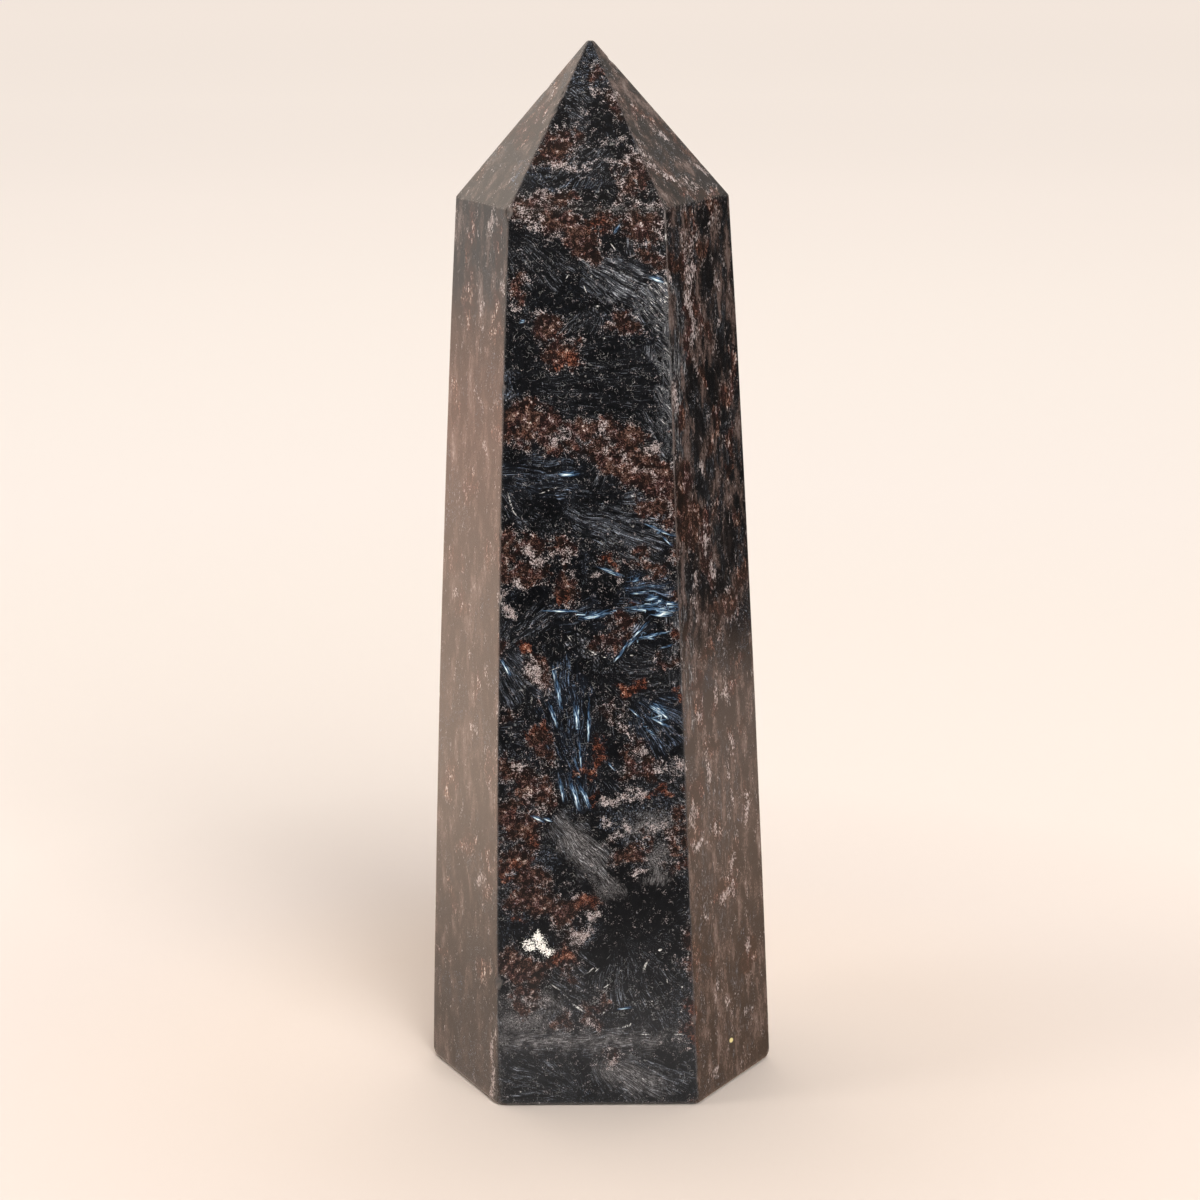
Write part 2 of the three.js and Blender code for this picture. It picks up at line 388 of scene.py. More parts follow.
# Markings. Each is a row of across, height, half length, half width and tilt, in mm and degrees, on the
# flat of one face: across is measured to the right from the middle of the face's lower edge, height is
# above the base, and the tilt turns the long way anticlockwise from level. A tilt of 0 is left out.
frontGarnet = [
    (-7, 106, 3.2, 1), (-3.5, 104.6, 4, 1.5, -25), (-0.8, 102, 2.6, 1.2, -45), (1, 104.8, 1.3, 1.1),
    (5.4, 104.4, 2.8, 1.7, -8), (6.6, 100.7, 1.6, 0.8, -20), (-8.6, 97.5, 1.8, 0.7, 80),
    (-5.2, 92.6, 1.9, 1.4, 110), (-3.6, 89.9, 1.9, 1.7), (3.3, 93.3, 2, 1.1), (-8, 82.6, 2.9, 1.8),
    (-9.6, 80.6, 1.6, 1), (-5.3, 81.3, 2, 1.4, 60), (-1.7, 81.2, 2.2, 1, 10), (1.5, 81.3, 2.2, 0.9, -20),
    (3.8, 80.5, 2.2, 1.1, -25), (-4, 79.4, 3.4, 0.7, -5), (1.5, 78, 2.8, 1.7, -35),
    (4.3, 77.2, 3.6, 2.2, -30), (7.2, 75.5, 3, 2.3, -50), (8.8, 73, 3.6, 1, 88), (6.5, 72.2, 1.6, 1.2),
    (3.2, 75.9, 2, 0.9, -20), (-9.9, 68.3, 1.3, 1.2), (-7.6, 67.6, 1.6, 1.4), (-3.9, 67.6, 1.5, 1.1),
    (-8.2, 64.4, 2.5, 1.1), (-10.6, 65.5, 1.6, 0.9, 90), (-3.6, 62.6, 2.3, 1.1, 105),
    (1.6, 65.9, 1.4, 0.5, -25), (5, 67, 1.2, 0.5), (5.6, 65.6, 0.9, 0.4), (2.9, 58.9, 1.4, 0.75, -5),
    (0.9, 56.3, 1.5, 0.9), (3.3, 57.3, 0.9, 0.5), (9.3, 57.5, 0.6, 0.5, 90), (9.5, 54, 0.6, 0.5, 90),
    (7.2, 64, 0.9, 0.5), (9.4, 66.8, 0.7, 0.6, 90), (9.6, 62, 0.6, 0.5, 90), (-11.3, 55.8, 1, 0.5, 90),
    (-6.7, 52.9, 2.6, 0.9, 115), (-10.3, 47.9, 0.7, 0.6), (-6.8, 44.6, 1.6, 1.2, 90),
    (4, 42.2, 1.2, 0.9, 90), (6.2, 41.5, 1.4, 0.9, 90), (4.8, 44, 1, 0.8, 90), (3.9, 40.8, 0.8, 0.6),
    (3, 46.6, 1.3, 0.4, 120), (1.6, 48.3, 1, 0.5, 100), (-10.3, 41.4, 1.6, 1.2), (-8, 39.5, 2.2, 1.4, 90),
    (-6.3, 38.2, 2.2, 1.1, 90), (-5.3, 43, 1, 0.6, 90), (-10.5, 35.5, 2.3, 1.3, 90),
    (-8, 34.2, 2.2, 1.6, 90), (-9.6, 30.2, 2.2, 1.8), (-7.6, 28.2, 2.4, 1.3), (4.3, 31, 1.6, 1),
    (2.2, 31, 0.8, 0.7), (9.3, 29.5, 0.9, 0.7), (9, 32.5, 1.6, 0.8, 90), (6, 33, 0.8, 0.8),
    (9.6, 35.8, 0.8, 0.5, 90), (-7.5, 25.3, 3.2, 1.5, -5), (-3.3, 24.3, 2.5, 1.4, 25),
    (-3.2, 20.5, 2.6, 0.8, 35), (-4.2, 18.3, 1.6, 1.2, 20), (-2.9, 16.2, 1.2, 0.4, 95),
    (-10.2, 17.8, 1.9, 1.7, 90), (-8.3, 16.8, 2, 1.6, -30), (-8.6, 14, 1.5, 0.8), (-8.8, 12.3, 1.6, 0.9),
    (-1, 11, 1.4, 1, 90), (-4.5, 10.3, 1.6, 0.7), (0.3, 12.8, 1.3, 0.5, 90), (1.6, 6.1, 1.2, 0.5, 35),
    (11.2, 18.5, 2.5, 0.6, 90), (11, 11.8, 1.6, 0.4, 90), (10.8, 9.3, 0.9, 0.6, 90), (11, 0.8, 0.7, 0.5),
    (8.1, 53.9, 0.9, 0.4),
]
frontOrange = [
    (0.8, 104.3, 0.7, 0.5, -30), (-3.2, 89.3, 1.2, 0.8), (-3.9, 61.2, 1, 0.6), (4.3, 51, 1.4, 0.6, 5),
    (0.4, 44.2, 0.8, 0.6, 60), (0.1, 42.8, 0.7, 0.6), (-1.5, 41, 1.2, 0.5, 10), (7.4, 38.5, 0.9, 0.45),
    (-7.3, 32.6, 0.5, 0.4), (-9.8, 29.5, 0.9, 0.5, 60), (-10.3, 27.5, 0.6, 0.3, 30),
    (-0.4, 37.3, 0.8, 0.5, 90), (-1.2, 25.4, 1.2, 0.4, 10), (-9.3, 23.2, 0.9, 0.35, -15),
    (11.1, 12.3, 1, 0.35, 90), (11.3, 7.8, 0.8, 0.3, 90), (9.9, 29.4, 0.5, 0.4), (9.3, 57.7, 0.45, 0.35, 60),
    (-8, 55.8, 0.9, 0.5), (4.6, 60.9, 0.4, 0.2), (9.7, 50.2, 0.5, 0.3), (-4.3, 18.6, 1.2, 0.6, 30),
    (1.9, 65.9, 1, 0.3, -25), (-6.6, 46.2, 1, 0.4, 10),
]
frontPale = [
    (-8.6, 106.2, 1.1, 0.6, -20), (-6.8, 105.4, 0.8, 0.4, -10), (-5, 106.9, 0.8, 0.3), (3.9, 105, 0.5, 0.4),
    (6.4, 106.6, 1.1, 0.16, -25), (7.8, 105.3, 0.8, 0.16, -75), (7.5, 103.6, 0.7, 0.25, -40),
    (-6.5, 103.9, 0.6, 0.5), (-4.3, 103.2, 0.7, 0.4, -20), (-7.8, 98.6, 0.4, 0.3), (-9.1, 95, 0.5, 0.4),
    (1.8, 93, 0.35, 0.25), (-4, 80.2, 1.2, 0.5, 10), (1.2, 80.7, 0.7, 0.5, 100), (0.9, 79, 0.4, 0.3),
    (6.5, 78.8, 0.8, 0.5, -40), (-7.4, 66.6, 1, 0.8, -30), (-5.2, 66.3, 0.8, 0.3, 10),
    (-3.3, 67, 0.8, 0.5, 90), (-2.4, 64.3, 0.35, 0.35), (0.1, 64.2, 0.4, 0.3), (2.6, 63.6, 0.3, 0.2),
    (-9.1, 63.2, 0.6, 0.45), (-10.8, 61.8, 0.9, 0.6, 90), (-10.2, 60, 1, 0.5, 20),
    (-11.5, 48.2, 0.8, 0.3, 90), (-7.7, 54.4, 0.9, 0.4, 110), (-6.9, 52.6, 1.2, 0.6, 115),
    (-6.1, 51, 0.8, 0.4, 115), (-8.8, 41.6, 1.3, 0.5, -10), (-7.6, 38.3, 0.5, 0.4),
    (-6.4, 36.4, 0.8, 0.25, 15), (2.6, 37.8, 1.9, 0.7, 15), (5.4, 38.4, 0.8, 0.4, 10),
    (9.3, 41.2, 1.2, 0.6, 70), (7.6, 34.8, 0.6, 0.5), (3.3, 34.6, 0.4, 0.35), (0.9, 35.2, 0.7, 0.3, -30),
    (4.9, 29.2, 0.8, 0.3, -30), (-0.4, 23.6, 0.7, 0.6, 90), (-1.9, 22.9, 0.5, 0.4, 90),
    (-2.9, 26.1, 0.4, 0.3, -40), (0.2, 22.2, 0.3, 0.2), (-2, 21.2, 1.8, 0.6, 35), (-2.9, 19.8, 0.7, 0.4, 60),
    (-5.2, 19.6, 0.7, 0.4), (3.2, 46.4, 1.1, 0.3, 125), (5.2, 43.4, 0.9, 0.3, 120),
    (1.9, 48.6, 0.6, 0.3, 60), (9.4, 53.4, 0.4, 0.3, 90), (7.6, 41, 0.8, 0.35, 20),
    (6.1, 34.1, 0.7, 0.35, -40), (2, 33.2, 0.6, 0.3, 30), (8.6, 32.6, 0.6, 0.3, 60), (8.9, 30, 0.5, 0.4),
    (-8.3, 13.2, 0.9, 0.4, -20), (1.5, 5.6, 0.9, 0.35, 60), (-1.2, 10.2, 0.6, 0.5),
    (0.3, 99.8, 0.5, 0.35, 80), (3.2, 77.8, 1, 0.15, -35), (5.8, 76.3, 0.9, 0.15, -30),
    (8.3, 72.5, 0.9, 0.12, -80), (9.2, 76.5, 0.8, 0.15, 80),
]
whitePatch = [
    (-7.3, 20.7, 0.9, 0.45, 105), (-7.7, 19.7, 0.6, 0.45, 10), (-6.4, 19.5, 0.8, 0.35, -15),
    (-7.1, 21.2, 0.5, 0.3, 60), (-7.9, 21.1, 0.5, 0.14, 25), (-5.8, 19.4, 0.4, 0.25),
]
frontDark = [
    (-7.5, 61.5, 2, 1.5), (-8, 22, 2.6, 0.45, -10), (-4.4, 21.4, 1.6, 0.5, 35), (-9, 20.7, 0.6, 1.3),
    (-6.3, 17.9, 1.6, 0.5, -45), (1.5, 61.5, 1.6, 1.4), (2.2, 43.4, 1.3, 1.6), (4.5, 25, 5, 4.5),
    (0.2, 73, 3, 1.2, 10), (-6, 72.5, 2.6, 1.6), (0, 95.3, 5, 0.5), (-9, 104.3, 1.5, 0.8),
    (8.5, 6.5, 3, 1.5, -10), (1.5, 20, 2.5, 2.5),
]
rightGarnet = [
    (4.3, 102.5, 2.8, 0.5, 88), (4.4, 98, 2.4, 0.9, 95), (6, 103, 2, 0.5, 90), (5.8, 98.6, 1.4, 1),
    (4.1, 93, 3.2, 0.9, 95), (6.2, 94.5, 2.2, 0.8, 120), (8.5, 91.3, 2.2, 0.7, 130), (4, 89.3, 1.6, 0.7, 90),
    (1.5, 99.6, 2.4, 0.8, -10), (6.9, 86.3, 1, 0.7, 90), (1.5, 82, 1.8, 0.9, 90), (12.3, 83, 1.8, 1.3),
    (10, 80.5, 2.5, 0.6, 80), (13, 77.5, 2, 1, 90), (8.3, 78.5, 1.8, 0.7, 90), (14.3, 86.5, 2, 0.8, 90),
    (8, 100.8, 2, 0.5), (1.5, 74.5, 2.8, 2, 90), (2.5, 70, 3, 2.6, 90), (5.6, 68, 3, 1.1, 90),
    (6.2, 63.8, 2.4, 1.1, 120), (11, 58.5, 2.8, 1.8), (7.5, 58.4, 2, 0.7, -20), (14.5, 61, 1.6, 1.3),
    (5.6, 53.6, 1.3, 0.9), (8.3, 55.5, 1.6, 0.8, 90), (3, 51.3, 1.6, 1.1, 90), (2.7, 47.5, 2.2, 1.6, 90),
    (6.8, 47.3, 1.8, 0.8, 70), (11.5, 48.5, 1.6, 1.2), (13.5, 51.2, 1.8, 0.7), (5.2, 42.3, 2, 0.8, -20),
    (10.5, 41.5, 1.6, 0.8, 90), (1.5, 38, 2.2, 2), (0.5, 33, 2.5, 1.8, 90), (5.5, 32.5, 1.9, 1.3, 90),
    (9.8, 27.5, 1.8, 1.2, 90), (7.3, 24.2, 3.2, 1.5, 10), (2, 25.7, 0.7, 0.5), (13.6, 33.5, 2.2, 0.8, 90),
    (-0.6, 18.5, 2.6, 0.7, 90), (12.8, 14.5, 2.6, 1.6, 80), (-1, 9, 2.4, 0.6, 90),
    (10.5, 106, 2.4, 0.8, -30), (3.5, 17, 1.6, 0.8, 30), (13.4, 43, 1.4, 0.7, 60),
    (13.2, 68.6, 1.6, 0.6, 120), (9, 70.5, 1.6, 0.5, 90), (12.5, 74.3, 1, 0.8), (0.5, 57, 1.6, 0.5, 80),
]
rightPale = [
    (11.8, 96.4, 0.9, 0.5), (11.4, 91.9, 0.5, 0.4), (10.6, 103.5, 0.6, 0.25), (12.8, 71, 0.5, 0.4),
    (9.2, 48, 1.2, 0.9, 90), (12.3, 15.8, 0.7, 0.5), (7.8, 10.5, 1, 0.2, -8), (8.2, 8.5, 0.7, 0.4),
    (12, 7.6, 1.6, 0.2, 20), (5.6, 98.2, 1.1, 0.8, 60), (4.1, 95.2, 1, 0.4, 95), (4, 101.4, 1.4, 0.25, 90),
    (4.8, 90.8, 1.2, 0.35, 100), (0.2, 98.6, 0.9, 0.4), (0.4, 85, 1.4, 0.4, 95), (6, 67, 1.6, 0.5, 95),
    (7.9, 63, 1, 0.7, 100), (10.8, 60, 0.9, 0.6, 80), (8.2, 55, 0.9, 0.5, 100), (7.2, 48.6, 1.2, 0.4, 80),
    (10.4, 41.4, 1, 0.5, 90), (0.2, 35, 2, 0.8, 85), (1.6, 31.5, 1.2, 0.7), (9.6, 27.3, 1, 0.6, 80),
    (7.4, 23.6, 1.8, 0.6, 10), (13.6, 33, 1.6, 0.45, 90), (5.6, 32.3, 0.9, 0.4, 60),
    (2.4, 46.5, 0.9, 0.5, 60), (13.8, 11, 0.8, 0.4, 70), (3, 2.5, 0.8, 0.4, 60), (10.3, 1.4, 0.7, 0.4, 80),
    (2.2, 22.5, 0.5, 0.3), (8.3, 81.2, 0.4, 0.25), (6.2, 75.6, 0.35, 0.3), (12.1, 57, 1, 0.3, 30),
    (4.6, 99.5, 2.5, 0.35, 88), (5, 93.5, 2.5, 0.3, 95), (6.2, 101, 1.6, 0.25, 90),
    (5.2, 88.5, 1.6, 0.25, 100), (9.6, 36, 3, 0.25, 92), (4.4, 40, 2.4, 0.25, 85), (3, 62, 2.6, 0.2, 95),
    (12.4, 24, 2.6, 0.2, 95), (4.6, 13, 3, 0.2, 88),
]
rightDark = [
    (12, 66.3, 3.2, 1.5, 90), (9, 61.8, 1.6, 1.1, 90), (2, 63.5, 1.6, 1.4), (11.5, 53.5, 2.4, 1.8, 90),
    (8.5, 104, 2, 1.4), (10, 98.5, 2.6, 1.8, 90), (9.5, 84, 2.5, 1.5, 90), (11, 88, 2.5, 1.4, 90),
    (5.5, 80, 3, 1.5, 90), (4, 86, 3, 1, 90),
]
leftGarnet = [
    (-13, 63.5, 2.5, 2), (-11, 59, 2, 1.5), (-3.8, 66.5, 1.3, 0.8, 90), (-11, 102.5, 3.6, 1.4, 85),
    (-3.4, 102, 3, 1, 95), (-11, 95, 4, 1.8, 90), (-3, 94, 3, 1.4, 90), (-2, 82, 2.2, 1.2, 90),
    (-1, 67, 2.4, 1, 90), (-15, 14, 2, 1), (-3, 16, 2, 1.2), (-2, 40.5, 1.8, 1.3, 90), (-2, 28, 4, 1.3, 90),
    (-13, 37, 3, 2, 60), (-9, 73, 3, 1.6, 60), (-14, 82, 3, 1.2, 90), (-8, 30, 3, 1.4, 30),
    (-12, 22, 2.2, 1.2, 120), (-6, 50, 2, 1, 100),
]
leftPale = [
    (-8, 52.7, 0.4, 0.4), (-3.1, 51.6, 1, 0.35, 90), (-6.5, 44.3, 1.2, 0.7), (-4, 26.5, 1.2, 1.1),
    (-7, 92.5, 2.5, 0.2, 110), (-7, 83.5, 2, 0.2, 140), (-5.5, 78, 1.5, 0.2, 140), (-6, 103.5, 1.2, 0.7, 90),
    (-0.4, 4, 5, 0.5, 90), (-2.2, 98, 1.4, 0.3, 95), (-4.4, 105, 0.8, 0.3, 90), (-12.5, 60, 0.8, 0.5),
]
frontTipGarnet = [
    (-2.9, 112.6, 2.3, 1.2, 5), (-3, 114, 2.4, 0.45), (-4.4, 111.4, 1.6, 0.8), (4.9, 111.2, 1.6, 0.6, 20),
    (4.6, 108.4, 1.5, 1.3, 30), (-5, 107.2, 3.6, 0.9, 5), (0.9, 120.6, 0.9, 0.8), (3.4, 116.3, 0.5, 1.2, 20),
    (-8.6, 106.6, 1.2, 0.8), (6, 110, 1.6, 0.6, -60),
]
frontTipPale = [
    (3.6, 113.4, 1.8, 0.1, 8), (0.4, 111.1, 2.4, 0.1, 5), (-1.9, 112.4, 0.6, 0.3, 70), (-3.6, 111, 0.5, 0.2),
    (-1.6, 115.2, 0.8, 0.15), (-0.6, 116.6, 0.4, 0.2), (4.2, 108.9, 1.2, 0.3, 60), (5, 111.4, 0.9, 0.2, 20),
    (-1.5, 110.1, 1, 0.15, -30), (0.7, 121.3, 0.4, 0.15, 30), (1.2, 118.6, 0.5, 0.2, 90),
    (-5, 108, 1.6, 0.2, 25), (4.7, 114.6, 0.5, 0.3, 70), (5.8, 106.9, 1.2, 0.2, -20),
]
rightTipGarnet = [
    (-5.6, 110.6, 2.4, 0.8, -40), (-2.6, 109, 2.8, 0.9, -35), (0.6, 107.4, 2.8, 1, -25),
    (3.4, 106.6, 2.4, 1, -10), (-2.4, 117.4, 2.6, 0.7, -50), (0.8, 114.8, 3, 0.6, -45),
    (4.2, 111.4, 2.4, 0.5, -45), (-6.6, 106.5, 1, 0.5),
]
rightTipPale = [
    (-4.4, 110.2, 2, 0.25, -35), (-1.4, 108.6, 1.6, 0.3, -30), (2, 107.6, 1.4, 0.25, -30),
    (-3.2, 118.3, 1.4, 0.2, -50), (0.6, 113.6, 1.6, 0.25, -45), (4.6, 109.6, 1.6, 0.3, -45),
    (-5.4, 112.4, 1.2, 0.2, -50),
]

# Thin needles with a painted bluish white glint, one row each as above, and short white dashes and veins
frontNeedles = [
    (1.7, 64.75, 1.3, 0.17, -22), (2, 64.45, 0.9, 0.1, -24), (6, 60.3, 2.3, 0.2, 2), (5, 60.6, 1.6, 0.12, 5),
    (5.2, 62.2, 1, 0.13, 5), (6.6, 61.6, 0.7, 0.35, 10), (7.2, 61.1, 0.6, 0.3, 20), (8.6, 61, 0.9, 0.2, -4),
    (4.6, 63.8, 0.35, 0.3, 30), (6.2, 62.9, 1.5, 0.13, 3), (7.6, 59.6, 1.3, 0.13, -5),
    (8.5, 60.1, 1.2, 0.14, 5), (-3.9, 60.1, 1.9, 0.15, -2), (0, 59.6, 1.7, 0.35, 10),
    (6.5, 57.2, 1.8, 0.2, 12), (6.2, 56.9, 0.6, 0.15, -10), (3.4, 56, 0.6, 0.15, 50),
    (5.2, 57.9, 1.2, 0.16, 48), (4.3, 56.6, 0.8, 0.14, 50), (2.7, 54.9, 0.8, 0.14, 50), (-3, 76.1, 1.1, 0.3),
    (-4.4, 50.6, 2.2, 0.22, 100), (-4.9, 52.8, 1, 0.18, 100), (-2.3, 47.8, 1.4, 0.32, 95),
    (-0.9, 47, 2.4, 0.15, 90), (-1.9, 43.2, 1.7, 0.12, 95), (-2.4, 42, 0.9, 0.12, 110),
    (-2.6, 38.5, 1.9, 0.26, 105), (-1.5, 38.2, 1.6, 0.24, 112), (7.2, 48.4, 1, 0.55, -30),
    (7.8, 47.9, 0.7, 0.3, -40), (7.4, 46.9, 1.3, 0.18, -27), (6.3, 45.7, 0.6, 0.13, -35),
    (-6.9, 35.4, 0.8, 0.2, -25), (-5.7, 35.3, 0.5, 0.16, -20), (7.2, 98.3, 0.8, 0.25, -20),
    (2.6, 104, 0.5, 0.2, 60), (7.9, 69.3, 1.4, 0.12, -22), (6.6, 69.9, 1.2, 0.11, -20),
    (8.2, 68.3, 0.8, 0.12, -45), (-8.2, 93.6, 0.3, 0.2, 20), (3.3, 12.2, 0.9, 0.13, 8),
    (1.7, 41.6, 0.6, 0.12, -50), (-4.1, 39, 1.3, 0.2, 100), (4.4, 48, 0.8, 0.1, -40),
    (-10.5, 53.6, 1.1, 0.2, 120), (-5, 47.9, 1.3, 0.2, 108), (8.3, 55.9, 0.8, 0.1, 15),
]
frontDashes = [
    (-1.3, 16.4, 0.5, 0.12, 20), (-0.8, 16.8, 0.5, 0.12, 35), (-0.6, 17.1, 0.3, 0.1, 30),
    (1, 14.9, 0.7, 0.1, 30), (1.2, 12.1, 0.7, 0.1, 35), (0.6, 11.5, 0.6, 0.1, 40),
    (0.9, 9.5, 0.22, 0.12, 55), (1.6, 9.6, 0.25, 0.12, 55), (2.4, 9.7, 0.25, 0.12, 55),
    (3.2, 9.9, 0.3, 0.12, 60), (3.8, 10.1, 0.4, 0.12, 62), (5.6, 17.4, 0.9, 0.22, 68),
    (5.4, 16.6, 0.4, 0.15, 80), (7.3, 19.3, 0.35, 0.2, 20), (6.5, 24.4, 0.4, 0.12, 60),
    (6.4, 13, 0.15, 0.13), (7.4, 12.9, 0.5, 0.09, 110), (7.9, 12.1, 0.3, 0.09, 110),
    (8.2, 15.5, 0.5, 0.12, 100), (9.9, 14.8, 0.15, 0.14), (5.4, 3.2, 0.9, 0.12, -42),
    (6.6, 1.9, 0.5, 0.1, -44), (8.4, 2.3, 0.4, 0.09, -50), (-4.9, 14.7, 1.2, 0.12, -35),
    (-3.5, 13.4, 0.7, 0.1, -55), (-2.2, 12.2, 1.4, 0.2, -35), (9.5, 8.9, 0.9, 0.07), (5.6, 8.9, 0.9, 0.07),
    (-0.2, 55.1, 0.9, 0.1, -30), (1, 54.6, 0.25, 0.14), (4.1, 54.8, 0.3, 0.1), (-9.9, 73.6, 0.9, 0.08, 105),
    (-9.3, 71.7, 0.8, 0.08, 125), (-4.6, 53.4, 1.4, 0.07, 20), (-2.3, 53.6, 0.9, 0.06, 5),
    (-0.9, 54.1, 0.7, 0.06, 28), (1.6, 50.7, 1.8, 0.08, -42), (-6.1, 73.9, 0.7, 0.09, 18),
    (-4.5, 74.5, 0.5, 0.08, 18), (-11.3, 7.7, 0.15, 0.13), (8.1, 103, 0.12, 0.6), (1.4, 71.2, 0.9, 0.08, -3),
    (2.6, 70.7, 0.9, 0.08, -20), (4.2, 70, 0.5, 0.1, -40), (-0.3, 91.5, 1.2, 0.06, 85),
    (0.4, 95.3, 0.5, 0.13), (-1, 97.3, 0.8, 0.09, -70), (-3, 98.6, 0.5, 0.13, 60), (2.2, 102, 0.8, 0.1, -50),
    (1, 10.6, 2.6, 0.05, 40), (2.2, 16, 3.2, 0.05, 62), (0.4, 17.5, 2.6, 0.05, 50),
    (-3.3, 57.3, 1.6, 0.1, -55), (-3.4, 52.6, 1.4, 0.08, -75), (4.3, 73.5, 0.4, 0.13, -20),
    (-7.7, 76.4, 0.8, 0.1, -50),
]
frontMilky = [
    (-1.8, 31.8, 4.2, 1.7, -50), (-2, 8.2, 9.5, 0.8), (-8.5, 10.6, 3, 1.4), (6, 34.5, 2.4, 1.3, 20),
    (0.8, 27.8, 1.8, 1, -50), (7, 30, 2.2, 1.2, 80), (-8, 13, 3, 1), (4, 3.6, 4, 1.6, -20),
]
yellowSpeck = [(7.5, 5.3, 0.5, 0.32, -10)]

# Fans of needles on the front: region as above, then where its needles point from, and the brightness and
# bluishness of their painted sheen
frontFans = [
    (3.5, 97.5, 5.5, 2.6, -30, -14, 108, 1.8, 0.1), (6.8, 96, 3, 2.4, 50, -2, 104, 3, 0.1),
    (-6, 100.5, 4, 3, 0, -12, 106, 0.5, 0), (7.9, 88, 9.5, 1.1, 90, -32, 127, 2.2, 0),
    (7.3, 81.3, 2.8, 1.4, -60, 8.8, 78, 0.9, 0), (0, 87, 8, 4.5, 0, -60, 87, 0.28, 0),
    (-6, 75.5, 4.5, 2.8, 0, -30, 77, 0.8, 0.4), (3, 70.5, 6.5, 3.2, -15, -9, 74, 1.35, 0.15),
    (4, 67.3, 4.5, 1.3, -25, -10, 74, 1.1, 0), (-8.7, 72.5, 2.6, 2.6, 0, -20, 80, 0.6, 0.1),
    (-8, 58.5, 4, 2, 30, -14, 53, 0.6, 0.1), (6.5, 62.3, 3.2, 1.8, -8, 0, 63, 1.4, 0.8),
    (4, 56.8, 3, 0.7, 48, 0, 53, 1.2, 0.3), (-3.5, 47.5, 7, 2.8, 90, -1.5, 35, 0.6, 0.7),
    (-9.5, 52, 3, 3, 0, -14, 58, 1.1, 0.2), (7.5, 46.5, 3.3, 3.2, 0, 2.5, 51.5, 1, 0.6),
    (1.5, 49, 3, 2, 90, -0.5, 54, 0.4, 0), (-1.8, 31.8, 5, 2.1, -50, -10, 41, 1.7, 0),
    (6, 24, 4.5, 4, 90, 5, 21.5, 0.25, 0), (4, 16, 4.5, 4.5, 0, 2, 23, 0.5, 0),
    (-2, 8, 9, 1.8, 0, -50, 7, 0.7, 0), (5, 3.5, 6, 2.5, 0, -2, 8, 0.9, 0),
    (-7, 3, 5, 2.5, 0, -1, 1, 0.7, 0), (-8, 46, 3, 1.6, 0, -16, 46, 0.4, 0.2),
    (-2.5, 40, 2, 3.5, 0, -1, 28, 0.7, 0.5), (1, 41, 2, 2, 0, -1, 44, 0.5, 0.2),
    (0, 60, 5, 1.5, 8, -20, 57, 0.6, 0.4),
]
rightFans = [
    (1, 88, 10, 2.2, 90, 0, -60, 2.2, 0), (0.8, 55, 10, 2.0, 90, 0, -60, 2.2, 0),
    (6, 30, 14, 4.5, 90, 6, -80, 0.9, 0), (11, 95, 9, 3, 90, 10, -40, 0.5, 0),
    (9, 70, 9, 4, 90, 8, -60, 0.6, 0), (7, 10, 8, 4, 90, 6, -80, 0.7, 0),
]


# The patches of one colour or grain, by kind and face
patches = {
    "garnet": {
        "front": frontGarnet, "right": rightGarnet, "left": leftGarnet,
        "frontTip": frontTipGarnet, "rightTip": rightTipGarnet,
    },
    "pale": {
        "front": frontPale, "right": rightPale, "left": leftPale,
        "frontTip": frontTipPale, "rightTip": rightTipPale,
    },
    "orange": {"front": frontOrange},
    "white": {"front": whitePatch},
    "dark": {"front": frontDark, "right": rightDark},
    "milky": {"front": frontMilky},
}

# The thin marks by kind, with their face. Neighbours that nearly touch are dealt out to two kinds.
needlesUpwards = sorted(frontNeedles, key=lambda row: row[1])
thinMarks = {
    "needleA": ("front", needlesUpwards[::2]),
    "needleB": ("front", needlesUpwards[1::2]),
    "dash": ("front", frontDashes),
    "yellow": ("right", yellowSpeck),
}


# The middle of a face's lower edge, its normal, the ways across and up it, and the side's number, or none
# for a face of the point
def faceFrame(i, corners, above, side=None):
    origin, over = ((row[i - 1] + row[i]) / 2 for row in (corners, above))
    right = corners[i] - corners[i - 1]
    right /= np.linalg.norm(right)
    up = over - origin
    up -= right * (up @ right)
    up /= np.linalg.norm(up)
    return origin, np.cross(right, up), right, up, side


tipRow = np.tile(sharpTip, (6, 1))
faceFrames = {
    "front": faceFrame(0, footCorners, shoulderCorners, 0),
    "right": faceFrame(1, footCorners, shoulderCorners, 1),
    "left": faceFrame(5, footCorners, shoulderCorners, 5),
    "frontTip": faceFrame(0, shoulderCorners, tipRow),
    "rightTip": faceFrame(1, shoulderCorners, tipRow),
}
# The rows for the right and the left are measured from the front arrises
acrossStart = {"front": 0.04, "right": -7.9, "left": 8.45, "frontTip": 0, "rightTip": 0}

# In mm, apart from the blend, which is per mm
markRule = {
    "blend": 4.0,  # how tightly two marks turn into each other
    "furthest": 3.0,  # distances from the marks are told apart up to here
    "margin": 5.0,  # a mark counts this far beyond its ends
    "thinMargin": 3.0,  # and a thin mark this far
    "bend": 0.35,  # how far outlines wander
    "fanBend": 0.5,
    "thinnest": 0.4,  # the least half size into the stone
    "fanReach": 4.0,  # the least distance of a focus that counts
    "markedDepth": 0.6,  # the tables' marks reach this far behind their faces
    "fadeDepth": 1.5,  # and strewn ones take over within this
    "drawnOut": [1, 5, 7, 11],  # sides 1 and 5 and their faces of the point, in beyondFaces' order
}


def onFace(face, across, height):
    origin, normal, right, up, side = faceFrames[face]
    place = origin + right * (across + acrossStart[face]) + up * ((height - origin[2]) / up[2])
    if side is None:
        return place
    foot, here, shoulder = sideReach([0, height, shoulderHeight])[:, side]
    bow = here - foot - (shoulder - foot) * height / shoulderHeight
    return place + normal * bow


